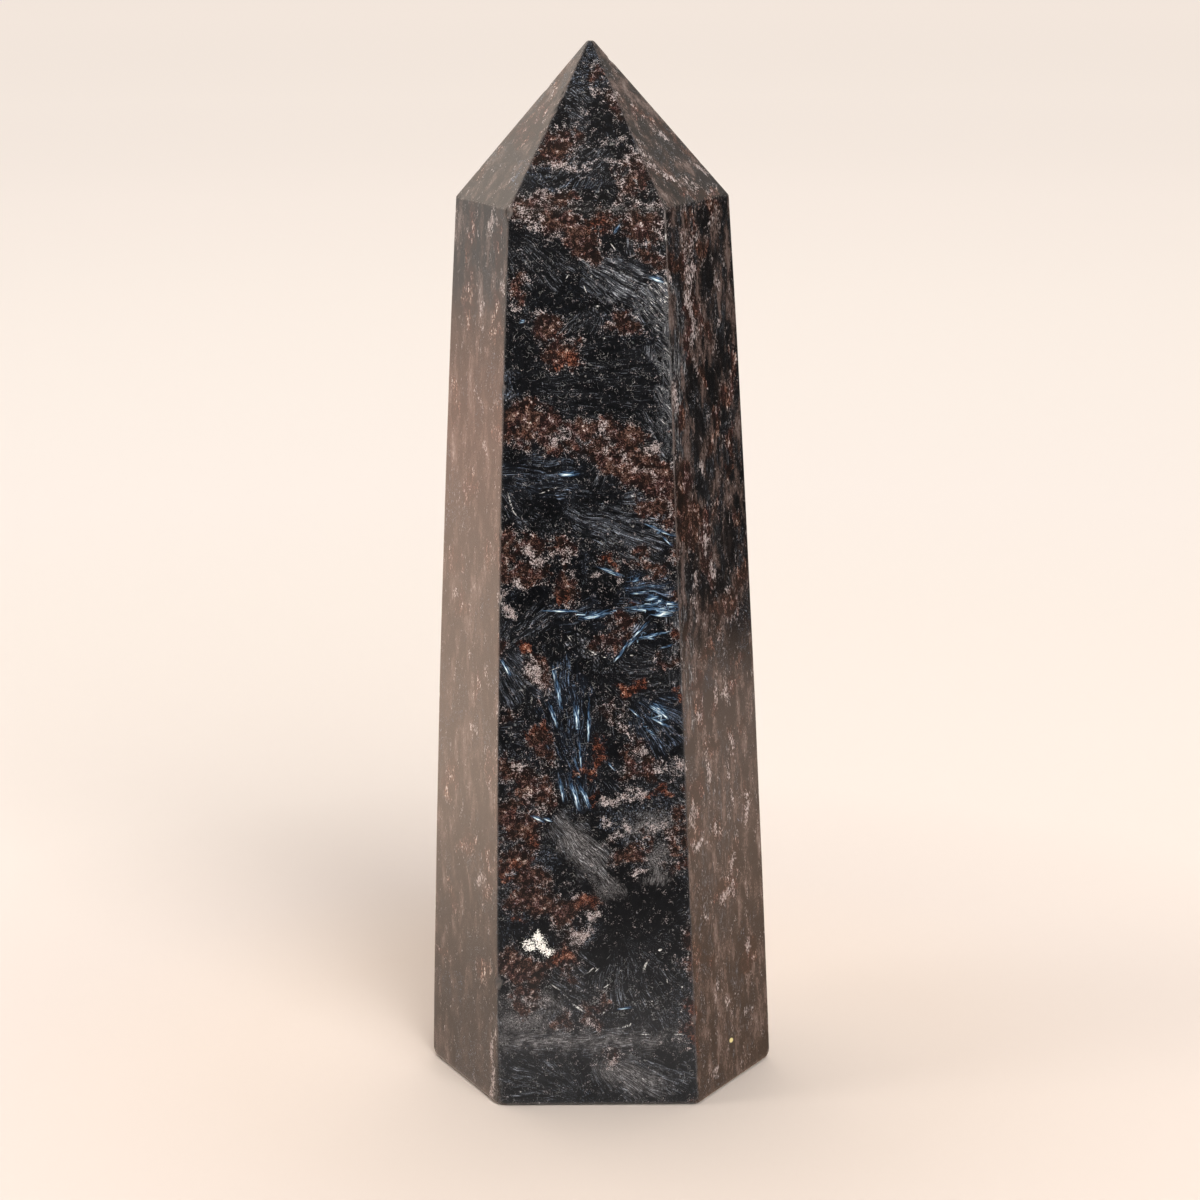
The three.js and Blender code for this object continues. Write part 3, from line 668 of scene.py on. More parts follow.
# A mark as an ellipsoid: its centre, its three axes as rows and its three half sizes in mm
def markAxes(face, row):
    across, height, halfLength, halfWidth, tilt = (*row, 0)[:5]
    _origin, normal, right, up, _side = faceFrames[face]
    turn = math.radians(tilt)
    along = right * math.cos(turn) + up * math.sin(turn)
    return (
        onFace(face, across, height),
        np.array([along, np.cross(normal, along), normal]),
        np.array([halfLength, halfWidth, max((halfLength + halfWidth) / 2, markRule["thinnest"])]),
    )


# Points moved along crossing sines a few millimetres long, so that no outline is a plain ellipse
def bent(points, amount):
    x, y, z = points.T
    across = np.sin(1.7 * z + 0.9 * x + 1)
    inwards = np.sin(1.3 * x + 1.1 * z + 2)
    up = np.sin(1.9 * x + 1.2 * y - 0.8 * z + 3)
    return points + amount * np.stack([across, inwards, up], 1)


# Distance outside an ellipsoid in mm, near enough: k0 (k0 - 1) / k1, where k0 is the length of the place
# over the half sizes and k1 its length over their squares
def outsideMark(points, mark):
    centre, axes, sizes = mark
    local = (points - centre) @ axes.T
    k0 = np.linalg.norm(local / sizes, axis=1)
    k1 = np.maximum(np.linalg.norm(local / sizes**2, axis=1), 1e-6)
    return k0 * (k0 - 1) / k1


# The points that a mark's centre is within a distance of, as indices
def nearTo(points, mark, distance):
    return np.flatnonzero(np.linalg.norm(points - mark[0], axis=1) < distance)


# How far inside the nearest mark each point is, in mm: the smooth maximum over every mark of the tables
def insideMarks(points, tables):
    places = bent(points, markRule["bend"])
    total = np.full(len(points), math.exp(-markRule["furthest"] * markRule["blend"]))
    for face, rows in tables.items():
        for row in rows:
            mark = markAxes(face, row)
            near = nearTo(places, mark, row[2] + markRule["margin"])
            total[near] += np.exp(-markRule["blend"] * outsideMark(places[near], mark))
    return np.log(total) / markRule["blend"]


# The fan that owns each point: how far inside it the point is, its focus, and its reach, brightness
# and blueness
def nearestFan(points):
    places = bent(points, markRule["fanBend"])
    rows = [("front", row) for row in frontFans] + [("right", row) for row in rightFans]
    fans = [markAxes(face, row) for face, row in rows]
    gaps = np.array([outsideMark(places, fan) for fan in fans])
    owner = gaps.argmin(0)
    focus = np.array([onFace(face, row[5], row[6]) for face, row in rows])
    reach = [max(np.linalg.norm(fan[0] - spot), markRule["fanReach"]) for fan, spot in zip(fans, focus)]
    traits = np.array([(r, *row[7:]) for r, (_face, row) in zip(reach, rows)])
    return -gaps.min(0), focus[owner], traits[owner]


# The thin mark nearest to each point: how far off it is, its centre, its direction over its half length
# and one over its half width. The material redraws the mark from these, finer than the mesh is.
def nearestThin(points, face, rows):
    gap, wide = np.full(len(points), far), np.ones(len(points))
    centres, along = np.zeros_like(points), np.zeros_like(points)
    for row in rows:
        centre, axes, (halfLength, halfWidth, _depth) = mark = markAxes(face, row)
        near = nearTo(points, mark, halfLength + markRule["thinMargin"])
        off = outsideMark(points[near], (centre, axes, np.array([halfLength, halfWidth, halfWidth])))
        near, off = near[off < gap[near]], off[off < gap[near]]
        gap[near], centres[near], along[near], wide[near] = off, centre, axes[0] / halfLength, 1 / halfWidth
    return gap, centres, along, wide


# Works the marks out at the vertices, as distances in mm that the material turns into grains
def paintMarks(mesh):
    points = pointsOf(mesh)
    for name, tables in patches.items():
        setAttribute(mesh, name, insideMarks(points, tables))
    for part, values in zip(("Inside", "Focus", "Traits"), nearestFan(points)):
        setAttribute(mesh, "fan" + part, values)
    for name, (face, rows) in thinMarks.items():
        for part, values in zip(("Gap", "Centre", "Along", "Wide"), nearestThin(points, face, rows)):
            setAttribute(mesh, name + part, values)
    # 1 well behind the marked faces, where the material strews marks of its own
    seen = np.max([(points - origin) @ normal for origin, normal, *_rest in faceFrames.values()], axis=0)
    unmarked = (-seen - markRule["markedDepth"]) / markRule["fadeDepth"]
    setAttribute(mesh, "unmarked", np.clip(unmarked, 0, 1))

    # 1 on the right front and left front sides and their faces of the point, where the grain is drawn out
    beyond = beyondFaces(points)
    aside = beyond.max(1) - beyond[:, markRule["drawnOut"]].max(1)
    setAttribute(mesh, "drawnOut", np.clip(1 - aside / surface["arrisWidth"], 0, 1))


paintMarks(tower.data)
print("marks worked out")


# Adds shader nodes and joins them. Every method but put gives back a node, its outputs or one of them.
class Net:
    def __init__(self, tree):
        self.tree = tree

    def put(self, socket, value):
        if isinstance(value, bpy.types.NodeSocket):
            self.tree.links.new(value, socket)
        elif isinstance(value, tuple) and socket.type == "RGBA":
            socket.default_value = (*value, 1)
        else:
            socket.default_value = value

    # A new node, with the values put into its first inputs
    def add(self, kind, *values, **settings):
        node = self.tree.nodes.new("ShaderNode" + kind)
        for name, value in settings.items():
            setattr(node, name, value)
        for socket, value in zip(node.inputs, values):
            self.put(socket, value)
        return node

    def math(self, operation, *values, clamp=False):
        return self.add("Math", *values, operation=operation, use_clamp=clamp).outputs[0]

    plus = partialmethod(math, "ADD")
    minus = partialmethod(math, "SUBTRACT")
    times = partialmethod(math, "MULTIPLY")
    timesPlus = partialmethod(math, "MULTIPLY_ADD")

    def vector(self, operation, *values):
        node = self.add("VectorMath", *values, operation=operation)
        return node.outputs["Value" if operation in ("LENGTH", "DOT_PRODUCT") else "Vector"]

    def scaled(self, vector, scale):
        node = self.add("VectorMath", vector, operation="SCALE")
        self.put(node.inputs["Scale"], scale)
        return node.outputs["Vector"]

    # From start to end while the value goes from low to high, slow at both ends
    def ease(self, value, low, high, start=0.0, end=1.0):
        return self.add("MapRange", value, low, high, start, end, interpolation_type="SMOOTHSTEP").outputs[0]

    def blend(self, share, a, b):
        node = self.add("Mix", share, data_type="RGBA")
        self.put(node.inputs[6], a)
        self.put(node.inputs[7], b)
        return node.outputs[2]

    def choose(self, share, a, b):
        node = self.add("Mix", share, data_type="VECTOR")
        self.put(node.inputs[4], a)
        self.put(node.inputs[5], b)
        return node.outputs[1]

    def noise(self, place, scale, detail=2, roughness=0.5, colour=False):
        node = self.add("TexNoise", place)
        for name, value in (("Scale", scale), ("Detail", detail), ("Roughness", roughness)):
            self.put(node.inputs[name], value)
        return node.outputs["Color" if colour else "Fac"]

    def cells(self, place, scale):
        node = self.add("TexVoronoi", place)
        self.put(node.inputs["Scale"], scale)
        return node.outputs

    def ramp(self, value, stops):
        node = self.add("ValToRGB", value)
        while len(node.color_ramp.elements) < len(stops):
            node.color_ramp.elements.new(0.5)
        for element, (position, colour) in zip(node.color_ramp.elements, stops):
            element.position, element.color = position, (*colour, 1)
        return node.outputs[0]

    def read(self, name, vector=False):
        return self.add("Attribute", attribute_name=name).outputs["Vector" if vector else "Fac"]

    def parts(self, vector):
        return self.add("SeparateXYZ", vector).outputs


# Colours are linear. The stone is nearly black, with needles whose silvery and bluish shine is painted into
# the colour as sheen, and granular garnet, wine red to tan, with pinkish white feldspar in and round it.
stone = {
    "ground": (0.0024, 0.0027, 0.0033),
    # The needles' painted sheen, silvery and bluish, in the next four colours; the silvery one also tints a
    # kind of speck
    "silverSheenAndSpeck": (0.25, 0.275, 0.32),
    "sheen": (0.17, 0.182, 0.21),
    "blueSheen": (0.11, 0.165, 0.28),
    "blueNeedleSheen": (0.13, 0.24, 0.42),
    "milkRamp": [(0.28, (0.014, 0.0135, 0.014)), (0.5, (0.07, 0.067, 0.069)), (0.74, (0.33, 0.32, 0.325))],
    "wineRamp": [
        (0.0, (0.003, 0.0026, 0.0026)), (0.3, (0.008, 0.005, 0.0048)), (0.46, (0.023, 0.011, 0.0098)),
        (0.62, (0.049, 0.022, 0.02)), (0.76, (0.092, 0.052, 0.049)), (0.87, (0.26, 0.205, 0.2)),
        (0.96, (0.66, 0.61, 0.6)),
    ],
    "tanRamp": [
        (0.0, (0.004, 0.003, 0.0026)), (0.3, (0.011, 0.0066, 0.0054)), (0.46, (0.029, 0.0148, 0.0112)),
        (0.62, (0.062, 0.0315, 0.0235)), (0.76, (0.115, 0.067, 0.052)), (0.87, (0.28, 0.21, 0.18)),
        (0.96, (0.66, 0.59, 0.54)),
    ],
    "orangeRamp": [
        (0.0, (0.005, 0.0035, 0.003)), (0.35, (0.02, 0.0075, 0.005)), (0.5, (0.06, 0.019, 0.012)),
        (0.66, (0.135, 0.045, 0.026)), (0.82, (0.3, 0.16, 0.11)), (0.96, (0.6, 0.5, 0.44)),
    ],
    "pale": (0.44, 0.40, 0.40),
    "paleBrown": (0.13, 0.088, 0.08),
    "sideRamp": [
        (0.42, (0.004, 0.004, 0.004)), (0.52, (0.04, 0.028, 0.024)), (0.62, (0.09, 0.064, 0.057)),
        (0.72, (0.17, 0.135, 0.125)), (0.82, (0.36, 0.31, 0.3)),
    ],
    "white": (0.86, 0.86, 0.81),
    "yellow": (0.75, 0.68, 0.32),
    "dash": (0.62, 0.62, 0.6),
    # The thin needles, from dark to a painted bluish white glint
    "needleGlintRamp": [
        (0.34, (0.004, 0.006, 0.010)), (0.46, (0.016, 0.034, 0.065)), (0.55, (0.07, 0.14, 0.25)),
        (0.62, (0.32, 0.46, 0.55)), (0.71, (0.85, 0.93, 0.92)),
    ],
    # Wear along the arrises and on the chips; along the arrises it is also a painted highlight
    "wearAndArrisHighlight": (0.14, 0.13, 0.125),
    "ior": 1.62,
}

# Specks: cells for each mm, rarest share, largest radius in cells, strength and colour
specks = [(1.15, 0.6, 0.1, 0.8, "dash"), (2.9, 0.62, 0.2, 0.55, "silverSheenAndSpeck"), (2.1, 0.7, 0.12, 0.8, "dash")]

# The needle fans. Two sizes of streak: how many for each mm across and along, about, then the noise's
# detail and roughness. The loose fans are those that no table places.
fibre = {
    "silk": (10.0, 0.6, 1, 0.6),
    "bundle": (2.4, 0.22, 3, 0.65),
    "loosePerMm": 0.16,
    "looseSpread": (26, 26, 40),  # mm; the focus of a loose fan is somewhere in a box of this size
    "looseReach": 15.0,  # mm
    "sway": (1.4, 1.4, 1.4),  # mm
}

# What places are multiplied by on the two sides where the grain is drawn out, for every noise there and
# for the side grains
drawing = {"all": (0.75, 0.75, 0.4), "side": (0.5, 0.5, 0.2)}


# What the layers of the stone share: the place in mm, the same drawn out along the two sides, noises from
# coarse to fine, the cells of single grains and the marks' own distances
class StoneNet(Net):
    def __init__(self, tree):
        super().__init__(tree)
        self.real = self.scaled(self.add("TexCoord").outputs["Object"], 1 / mm)
        self.drawnOut = self.read("drawnOut")
        self.plainHere = self.minus(1, self.times(self.drawnOut, 0.75))
        self.unmarked = self.read("unmarked")
        self.garnet = self.read("garnet")
        place = self.choose(self.drawnOut, self.real, self.vector("MULTIPLY", self.real, drawing["all"]))
        self.place = place
        self.slow = self.noise(self.real, 0.13, 3, 0.6)
        self.mottle = self.noise(place, 0.45, 3, 0.6)
        self.ragged = self.minus(self.noise(place, 0.8, 4, 0.66), 0.5)
        self.medium = self.noise(place, 1.5, 3, 0.6)
        self.grit = self.noise(place, 7.0, 1, 0.8)
        self.broken = self.minus(self.grit, 0.5)
        self.bend = self.vector("SUBTRACT", self.noise(place, 0.4, 2, colour=True), (0.5, 0.5, 0.5))
        crooked = self.vector("ADD", self.bend, place)
        self.grainRed, self.grainGreen, self.grainBlue = self.parts(self.cells(crooked, 2.4)["Color"])
        wander = self.timesPlus(self.ragged, 3.8, self.timesPlus(self.grainGreen, 0.6, -0.3))
        self.wander = self.timesPlus(self.broken, 1.0, wander)
        dark = self.ease(self.timesPlus(self.ragged, 3.0, self.read("dark")), -0.3, 0.4, 0, 0.85)
        self.lit = self.minus(1, dark)

    # How far inside the marks of a kind a place is, or inside what noise strews on the unmarked faces
    def inside(self, marks, noise, middle, slope):
        strewn = self.times(self.minus(noise, middle), slope)
        strewn = self.math("MINIMUM", strewn, self.timesPlus(self.unmarked, 6.0, -3.5))
        return self.math("MAXIMUM", marks, strewn)


# The ground and its needles, whose shine is painted into the colour as sheen. They stand in fans: each is a
# streak of noise that depends on the direction from the fan's focus, so it's narrow across and long
# outwards. Two sizes of streak are laid over each other and broken up by plain noise. Outside the tables'
# fans, each cell of a coarse pattern is one.
def needleFansAndSheen(net):
    spread = fibre["looseSpread"]
    cell = net.cells(net.vector("MULTIPLY_ADD", net.bend, (3.0, 3.0, 3.0), net.real), fibre["loosePerMm"])
    looseFocus = net.vector("MULTIPLY_ADD", cell["Color"], spread, cell["Position"])
    looseFocus = net.vector("SUBTRACT", looseFocus, tuple(size / 2 for size in spread))
    cellRed, cellGreen, _cellBlue = net.parts(cell["Color"])
    unseen = net.plus(net.unmarked, 1)
    looseSheen = net.times(net.ease(cellRed, 0.1, 1, 0.1, 0.8), unseen)
    looseBlueness = net.times(net.ease(cellGreen, 0.6, 1, 0, 0.3), unseen)
    looseTraits = net.add("CombineXYZ", fibre["looseReach"], looseSheen, looseBlueness).outputs[0]
    fanInside = net.read("fanInside")
    inFan = net.ease(fanInside, -0.6, -0.4)
    focus = net.choose(inFan, looseFocus, net.read("fanFocus", True))
    reach, sheen, blueness = net.parts(net.choose(inFan, looseTraits, net.read("fanTraits", True)))
    fromRim = net.math("ABSOLUTE", net.plus(fanInside, 0.5))
    sheen = net.times(sheen, net.ease(fromRim, 0, 1.3, 0.3, 1))

    sway = net.vector("SUBTRACT", net.noise(net.real, 0.22, 1, colour=True), (0.5, 0.5, 0.5))
    away = net.vector("SUBTRACT", net.vector("MULTIPLY_ADD", sway, fibre["sway"], net.real), focus)
    heading = net.vector("NORMALIZE", away)

    def streaks(across, along, detail, roughness):
        turned = net.scaled(heading, net.times(reach, across))
        return net.noise(net.vector("ADD", turned, net.scaled(away, along)), 1, detail, roughness)

    silk, bundle = streaks(*fibre["silk"]), streaks(*fibre["bundle"])
    # Fine bright hairs and a broad gloss along the streaks: the needles' painted sheen, whiter in the
    # brightest fans
    sheenHairs = net.math("POWER", net.ease(net.timesPlus(net.broken, 0.5, silk), 0.52, 0.84), 1.5)
    sheenHairs = net.times(sheenHairs, net.ease(bundle, 0.42, 0.66, 0.1, 1.7))
    gloss = net.times(net.ease(bundle, 0.35, 0.72), net.ease(silk, 0.3, 0.66, 0.3, 1))
    paintedShine = net.times(sheen, net.lit)
    needleSheen = net.blend(net.times(blueness, net.ease(bundle, 0.4, 0.6)), stone["silverSheenAndSpeck"], stone["blueNeedleSheen"])
    needleSheen = net.blend(net.ease(sheen, 1.0, 3.0), needleSheen, stone["dash"])
    paintedSheenHere = net.times(gloss, net.times(paintedShine, 0.22), clamp=True)
    colour = net.blend(paintedSheenHere, stone["ground"], net.blend(blueness, stone["sheen"], stone["blueSheen"]))
    return net.blend(net.times(sheenHairs, paintedShine, clamp=True), colour, needleSheen), silk


# Fine bright threads: the level lines of a noise, which wander and close on themselves, kept in patches
def threads(net, colour):
    patchy = net.times(net.ease(net.noise(net.place, 1.1, 1), 0.54, 0.66), net.lit)
    patchy = net.times(patchy, net.ease(net.grit, 0.34, 0.6, 0.15, 1))
    offLine = net.math("ABSOLUTE", net.minus(net.noise(net.place, 1.5, 1, 0.5), 0.5))
    web = net.times(net.times(net.ease(offLine, 0.02, 0.0), patchy), 0.34)
    return net.blend(net.times(web, net.plainHere), colour, stone["dash"])


# Brown and pale grains drawn out along the two sides
def sideGrains(net, colour):
    tone = net.noise(net.vector("MULTIPLY", net.real, drawing["side"]), 1, 4, 0.66)
    tone = net.timesPlus(net.broken, 0.22, tone)
    share = net.times(net.times(net.ease(tone, 0.44, 0.58, 0, 0.85), net.drawnOut), net.lit)
    return net.blend(share, colour, net.ramp(tone, stone["sideRamp"]))


# Milky veils, with the streaks of the needles in them
def veils(net, colour, silk):
    share = net.ease(net.timesPlus(net.ragged, 5.0, net.read("milky")), -1.4, 1.8, 0, 0.7)
    return net.blend(share, colour, net.ramp(net.timesPlus(net.broken, 0.5, silk), stone["milkRamp"]))


# The garnet's colour and the orange of its rust: two sizes of noise laid over each other, and cells that
# change single grains
def garnetColours(net):
    shade = net.times(net.ease(net.grit, 0.25, 0.75), 0.52)
    shade = net.timesPlus(net.ease(net.medium, 0.28, 0.72), 0.42, shade)
    shade = net.timesPlus(net.grainRed, 0.3, net.plus(shade, -0.18))
    shade = net.timesPlus(net.mottle, 0.6, net.plus(shade, -0.35))
    shade = net.plus(shade, net.ease(net.garnet, 0.5, 1.8, 0, 0.1))
    shade = net.timesPlus(net.drawnOut, 0.04, shade)
    tint = net.ease(net.timesPlus(net.grainBlue, 0.12, net.noise(net.place, 0.7, 2)), 0.46, 0.62)
    garnet = net.blend(tint, net.ramp(shade, stone["wineRamp"]), net.ramp(shade, stone["tanRamp"]))
    rust = net.times(net.ease(net.grainGreen, 0.8, 0.9), net.ease(net.medium, 0.4, 0.6, 0, 0.4))
    orange = net.ramp(shade, stone["orangeRamp"])
    return net.blend(rust, garnet, orange), orange


# Pale grains, thick in the pale marks and thin along the garnet's edges, where some are rusty
def paleGrains(net, colour, garnetDepth, orange):
    depth = net.timesPlus(net.wander, 0.6, net.inside(net.read("pale"), net.mottle, 0.66, 14.0))
    share = net.timesPlus(net.grainRed, 0.2, net.ease(depth, -0.6, 0.6, -0.34, 0.42))
    share = net.timesPlus(net.broken, 1.6, share)
    share = net.timesPlus(net.minus(net.medium, 0.5), 2.0, share)
    shade = net.blend(net.ease(net.grit, 0.36, 0.7), stone["paleBrown"], stone["pale"])
    colour = net.blend(net.ease(share, 0.05, 0.75), colour, shade)
    rim = net.ease(net.math("ABSOLUTE", net.plus(garnetDepth, 0.1)), 0.5, 0.0, 0, 0.75)
    rim = net.times(rim, net.plainHere)
    grain = net.timesPlus(net.medium, 0.6, net.grit)
    colour = net.blend(net.times(rim, net.ease(grain, 0.78, 0.68, 0, 0.8)), colour, orange)
    return net.blend(net.times(rim, net.ease(grain, 0.88, 1.0)), colour, stone["pale"])


# How many half sizes away the nearest thin mark of a kind is, which is under 1 inside it, and the place
# from the mark's centre in two steps: along the mark, then off it
def thinMark(net, place, name):
    away = net.vector("SUBTRACT", place, net.read(name + "Centre", True))
    along = net.read(name + "Along", True)
    ahead = net.vector("DOT_PRODUCT", away, along)
    foot = net.scaled(along, net.math("DIVIDE", ahead, net.vector("DOT_PRODUCT", along, along)))
    off = net.vector("SUBTRACT", away, foot)
    aside = net.times(net.vector("LENGTH", off), net.read(name + "Wide"))
    reach = net.math("SQRT", net.timesPlus(ahead, ahead, net.times(aside, aside)))
    return net.plus(reach, net.ease(net.read(name + "Gap"), 0.3, 0.6, 0, far)), foot, off


# Thin needles, each a sheaf of finer ones that run its way, their bright bluish white a painted glint,
# then dashes and veins, the yellow speck and the white patch
def brightMarks(net, colour):
    place = net.vector("MULTIPLY_ADD", net.bend, (0.3, 0.3, 0.3), net.real)
    for name in ("needleA", "needleB"):
        reach, foot, off = thinMark(net, place, name)
        drawn = net.vector("ADD", net.scaled(off, 8.0), foot)
        sheaf = net.timesPlus(reach, -0.1, net.plus(net.noise(drawn, 1, 2, 0.6), 0.05))
        colour = net.blend(net.ease(reach, 1.6, 0.5), colour, net.ramp(sheaf, stone["needleGlintRamp"]))
    dashes = net.ease(thinMark(net, place, "dash")[0], 0.85, 0.4)
    dashes = net.times(dashes, net.ease(net.grit, 0.4, 0.56, 0.1, 1))
    colour = net.blend(dashes, colour, stone["dash"])
    colour = net.blend(net.ease(thinMark(net, place, "yellow")[0], 1.1, 0.7), colour, stone["yellow"])
    white = net.timesPlus(net.broken, 1.6, net.timesPlus(net.ragged, 1.6, net.read("white")))
    shade = net.blend(net.ease(net.grit, 0.22, 0.62), stone["pale"], stone["white"])
    return net.blend(net.ease(white, 0, 0.2), colour, shade)


# Specks strewn in places, most of them tiny
def strewnSpecks(net, colour):
    strewn = net.times(net.ease(net.medium, 0.46, 0.58, 0.1, 1), net.times(net.plainHere, net.lit))
    for scale, rarest, largest, strength, tone in specks:
        cell = net.cells(net.real, scale)
        size = net.ease(net.parts(cell["Color"])[0], rarest, 1, -0.05, largest)
        speck = net.ease(net.minus(size, cell["Distance"]), -0.02, 0.04)
        colour = net.blend(net.times(net.times(speck, strength), strewn), colour, stone[tone])
    return colour


def stoneMaterial():
    material = bpy.data.materials.new("polished_stone")
    material.use_nodes = True
    material.node_tree.nodes.clear()
    net = StoneNet(material.node_tree)
    colour, silk = needleFansAndSheen(net)
    colour = threads(net, colour)
    colour = sideGrains(net, colour)
    colour = veils(net, colour, silk)
    garnet, orange = garnetColours(net)
    garnetDepth = net.plus(net.inside(net.garnet, net.slow, 0.55, 26.0), net.wander)
    colour = net.blend(net.ease(garnetDepth, -0.3, 0.3), colour, garnet)
    colour = paleGrains(net, colour, garnetDepth, orange)
    orangeDepth = net.timesPlus(net.wander, 0.8, net.read("orange"))
    colour = net.blend(net.ease(orangeDepth, -0.35, 0.3), colour, orange)
    colour = brightMarks(net, colour)
    colour = strewnSpecks(net, colour)
    # Lighter and rougher along the arrises and on the chips: wear, and along the arrises also a painted
    # highlight
    wearAndArrisHighlight = net.times(net.read("arris"), net.ease(net.grit, 0.4, 0.7, 0.0, 0.6))
    wearAndArrisHighlight = net.math("MAXIMUM", wearAndArrisHighlight, net.times(net.read("chipped"), 0.35))

    shader = net.add("BsdfPrincipled")
    net.put(shader.inputs["Base Color"], net.blend(wearAndArrisHighlight, colour, stone["wearAndArrisHighlight"]))
    gloss = net.ease(garnetDepth, -0.5, 0.5, 0.12, 0.18)
    net.put(shader.inputs["Roughness"], net.timesPlus(wearAndArrisHighlight, 0.4, gloss))
    shader.inputs["IOR"].default_value = stone["ior"]
    net.add("OutputMaterial", shader.outputs[0])
    print("stone material nodes:", len(net.tree.nodes))
    return material


tower.data.materials.append(stoneMaterial())
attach(tower, "root")
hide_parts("tower")


# Surroundings, in mm: a pale floor with a painted glow, and cards with a painted glow that only the stone's
# polish sees, as painted reflections. A glow is a list of distances from the axis, each with the colour
# that the polish meets there. A spill is a place, the radii of its core and its edge, and how many times
# brighter the floor's painted glow is in its core.
stage = {
    "floor": (0.575, 0.515, 0.472),
    "floorReach": 4000.0,
    # The floor's painted glow: none beside the stone, brighter further off
    "floorGlow": [
        (45.0, (0, 0, 0)), (76.0, (0.03, 0.05, 0.07)), (120.0, (0.12, 0.14, 0.15)),
        (250.0, (0.175, 0.2, 0.205)), (344.0, (0.227, 0.249, 0.26)), (466.0, (0.282, 0.3, 0.302)),
        (641.0, (0.36, 0.366, 0.359)), (892.0, (0.456, 0.446, 0.432)), (1299.0, (0.548, 0.528, 0.503)),
        (1900.0, (0.59, 0.56, 0.53)),
    ],
    "spills": [
        ((90.0, -260.0, 0.0), 60.0, 420.0, 0.0), ((250.0, -760.0, 0.0), 120.0, 560.0, 1.32),
        ((-430.0, -115.0, 0.0), 60.0, 280.0, 0.0), ((-980.0, -260.0, 0.0), 200.0, 400.0, 1.3),
    ],
    # A card in front, seen only in the front faces' polish: a painted glow, bright near the foot and dark
    # further off
    "frontCard": {"nearest": 16.5, "furthest": 3500.0, "half": 1500.0, "halfNear": 60.0},
    "frontGlow": [
        (16.0, (0.3, 0.28, 0.27)), (27.0, (0.38, 0.36, 0.35)), (42.0, (0.56, 0.52, 0.51)),
        (54.0, (0.46, 0.43, 0.42)), (70.0, (0.28, 0.26, 0.25)), (100.0, (0.13, 0.12, 0.115)),
        (149.0, (0.05, 0.046, 0.044)), (290.0, (0.03, 0.03, 0.032)), (385.0, (0.0, 0.0, 0.0)),
        (440.0, (0.015, 0.015, 0.016)), (530.0, (0.0, 0.0, 0.0)), (700.0, (0.03, 0.03, 0.032)),
    ],
    # A dark card to the back right, seen only in the right side's polish as a painted dark reflection
    "rightCard": {
        "bearing": 29, "distance": 285.0, "half": 190.0, "height": 190.0, "glow": (0.036, 0.029, 0.024),
    },
    "underReach": 900.0,
    "sectorStep": 10,  # degrees
    # Sectors of floor with a painted glow that only the sides' polish sees, one round the left and one round
    # the right
    "leftSector": (115, 235),  # bearings, degrees
    "leftGlow": [
        (0.0, (0.65, 0.48, 0.38)), (45.0, (0.84, 0.63, 0.5)), (142.0, (1.75, 1.29, 1.01)),
        (315.0, (1.8, 1.3, 1.02)), (540.0, (1.85, 1.22, 0.95)), (900.0, (1.3, 0.95, 0.76)),
    ],
    "rightSector": (-55, 65),
    "rightGlow": [
        (0.0, (0.5, 0.32, 0.22)), (60.0, (0.62, 0.4, 0.28)), (130.0, (0.95, 0.66, 0.5)),
        (215.0, (0.95, 0.68, 0.54)), (285.0, (0.3, 0.21, 0.16)),
    ],
    # The floor lies just under the stone, and each card just over the one before
    "heights": {"floor": -0.02, "sectors": 0.1, "frontCard": 0.2},
}


# A material with a painted glow that depends on the distance from the axis, scaled round each spill
def radialGlow(name, stops, base=(0, 0, 0), spills=()):
    material = bpy.data.materials.new(name)
    material.use_nodes = True
    net = Net(material.node_tree)
    shader = material.node_tree.nodes["Principled BSDF"]
    level = net.vector("MULTIPLY", net.add("TexCoord").outputs["Object"], (1 / mm, 1 / mm, 0))
    furthest = stops[-1][0]
    share = net.math("DIVIDE", net.vector("LENGTH", level), furthest)
    colours = net.ramp(share, [(distance / furthest, colour) for distance, colour in stops])
    net.put(shader.inputs["Emission Color"], colours)
    strength = 1.0
    for place, core, edge, brighter in spills:
        off = net.vector("LENGTH", net.vector("SUBTRACT", level, place))
        strength = net.times(net.ease(off, core, edge, brighter, 1), strength)
    net.put(shader.inputs["Emission Strength"], strength)
    net.put(shader.inputs["Base Color"], base)
    net.put(shader.inputs["Roughness"], 1)
    net.put(shader.inputs["Specular IOR Level"], 0)
    return material


# A flat sheet with the given corners in mm
def card(name, corners, material):
    mesh = bpy.data.meshes.new(name)
    mesh.from_pydata([tuple(c * mm for c in corner) for corner in corners], [], [range(len(corners))])
    mesh.materials.append(material)
    sheet = addObject(name, mesh)
    return sheet


# A place in mm at a bearing from the axis, moved aside to the left of that way
def polar(bearingDegrees, distance, aside=0.0, height=0.0):
    turn = math.radians(bearingDegrees)
    return (
        distance * math.cos(turn) - aside * math.sin(turn),
        distance * math.sin(turn) + aside * math.cos(turn),
        height,
    )


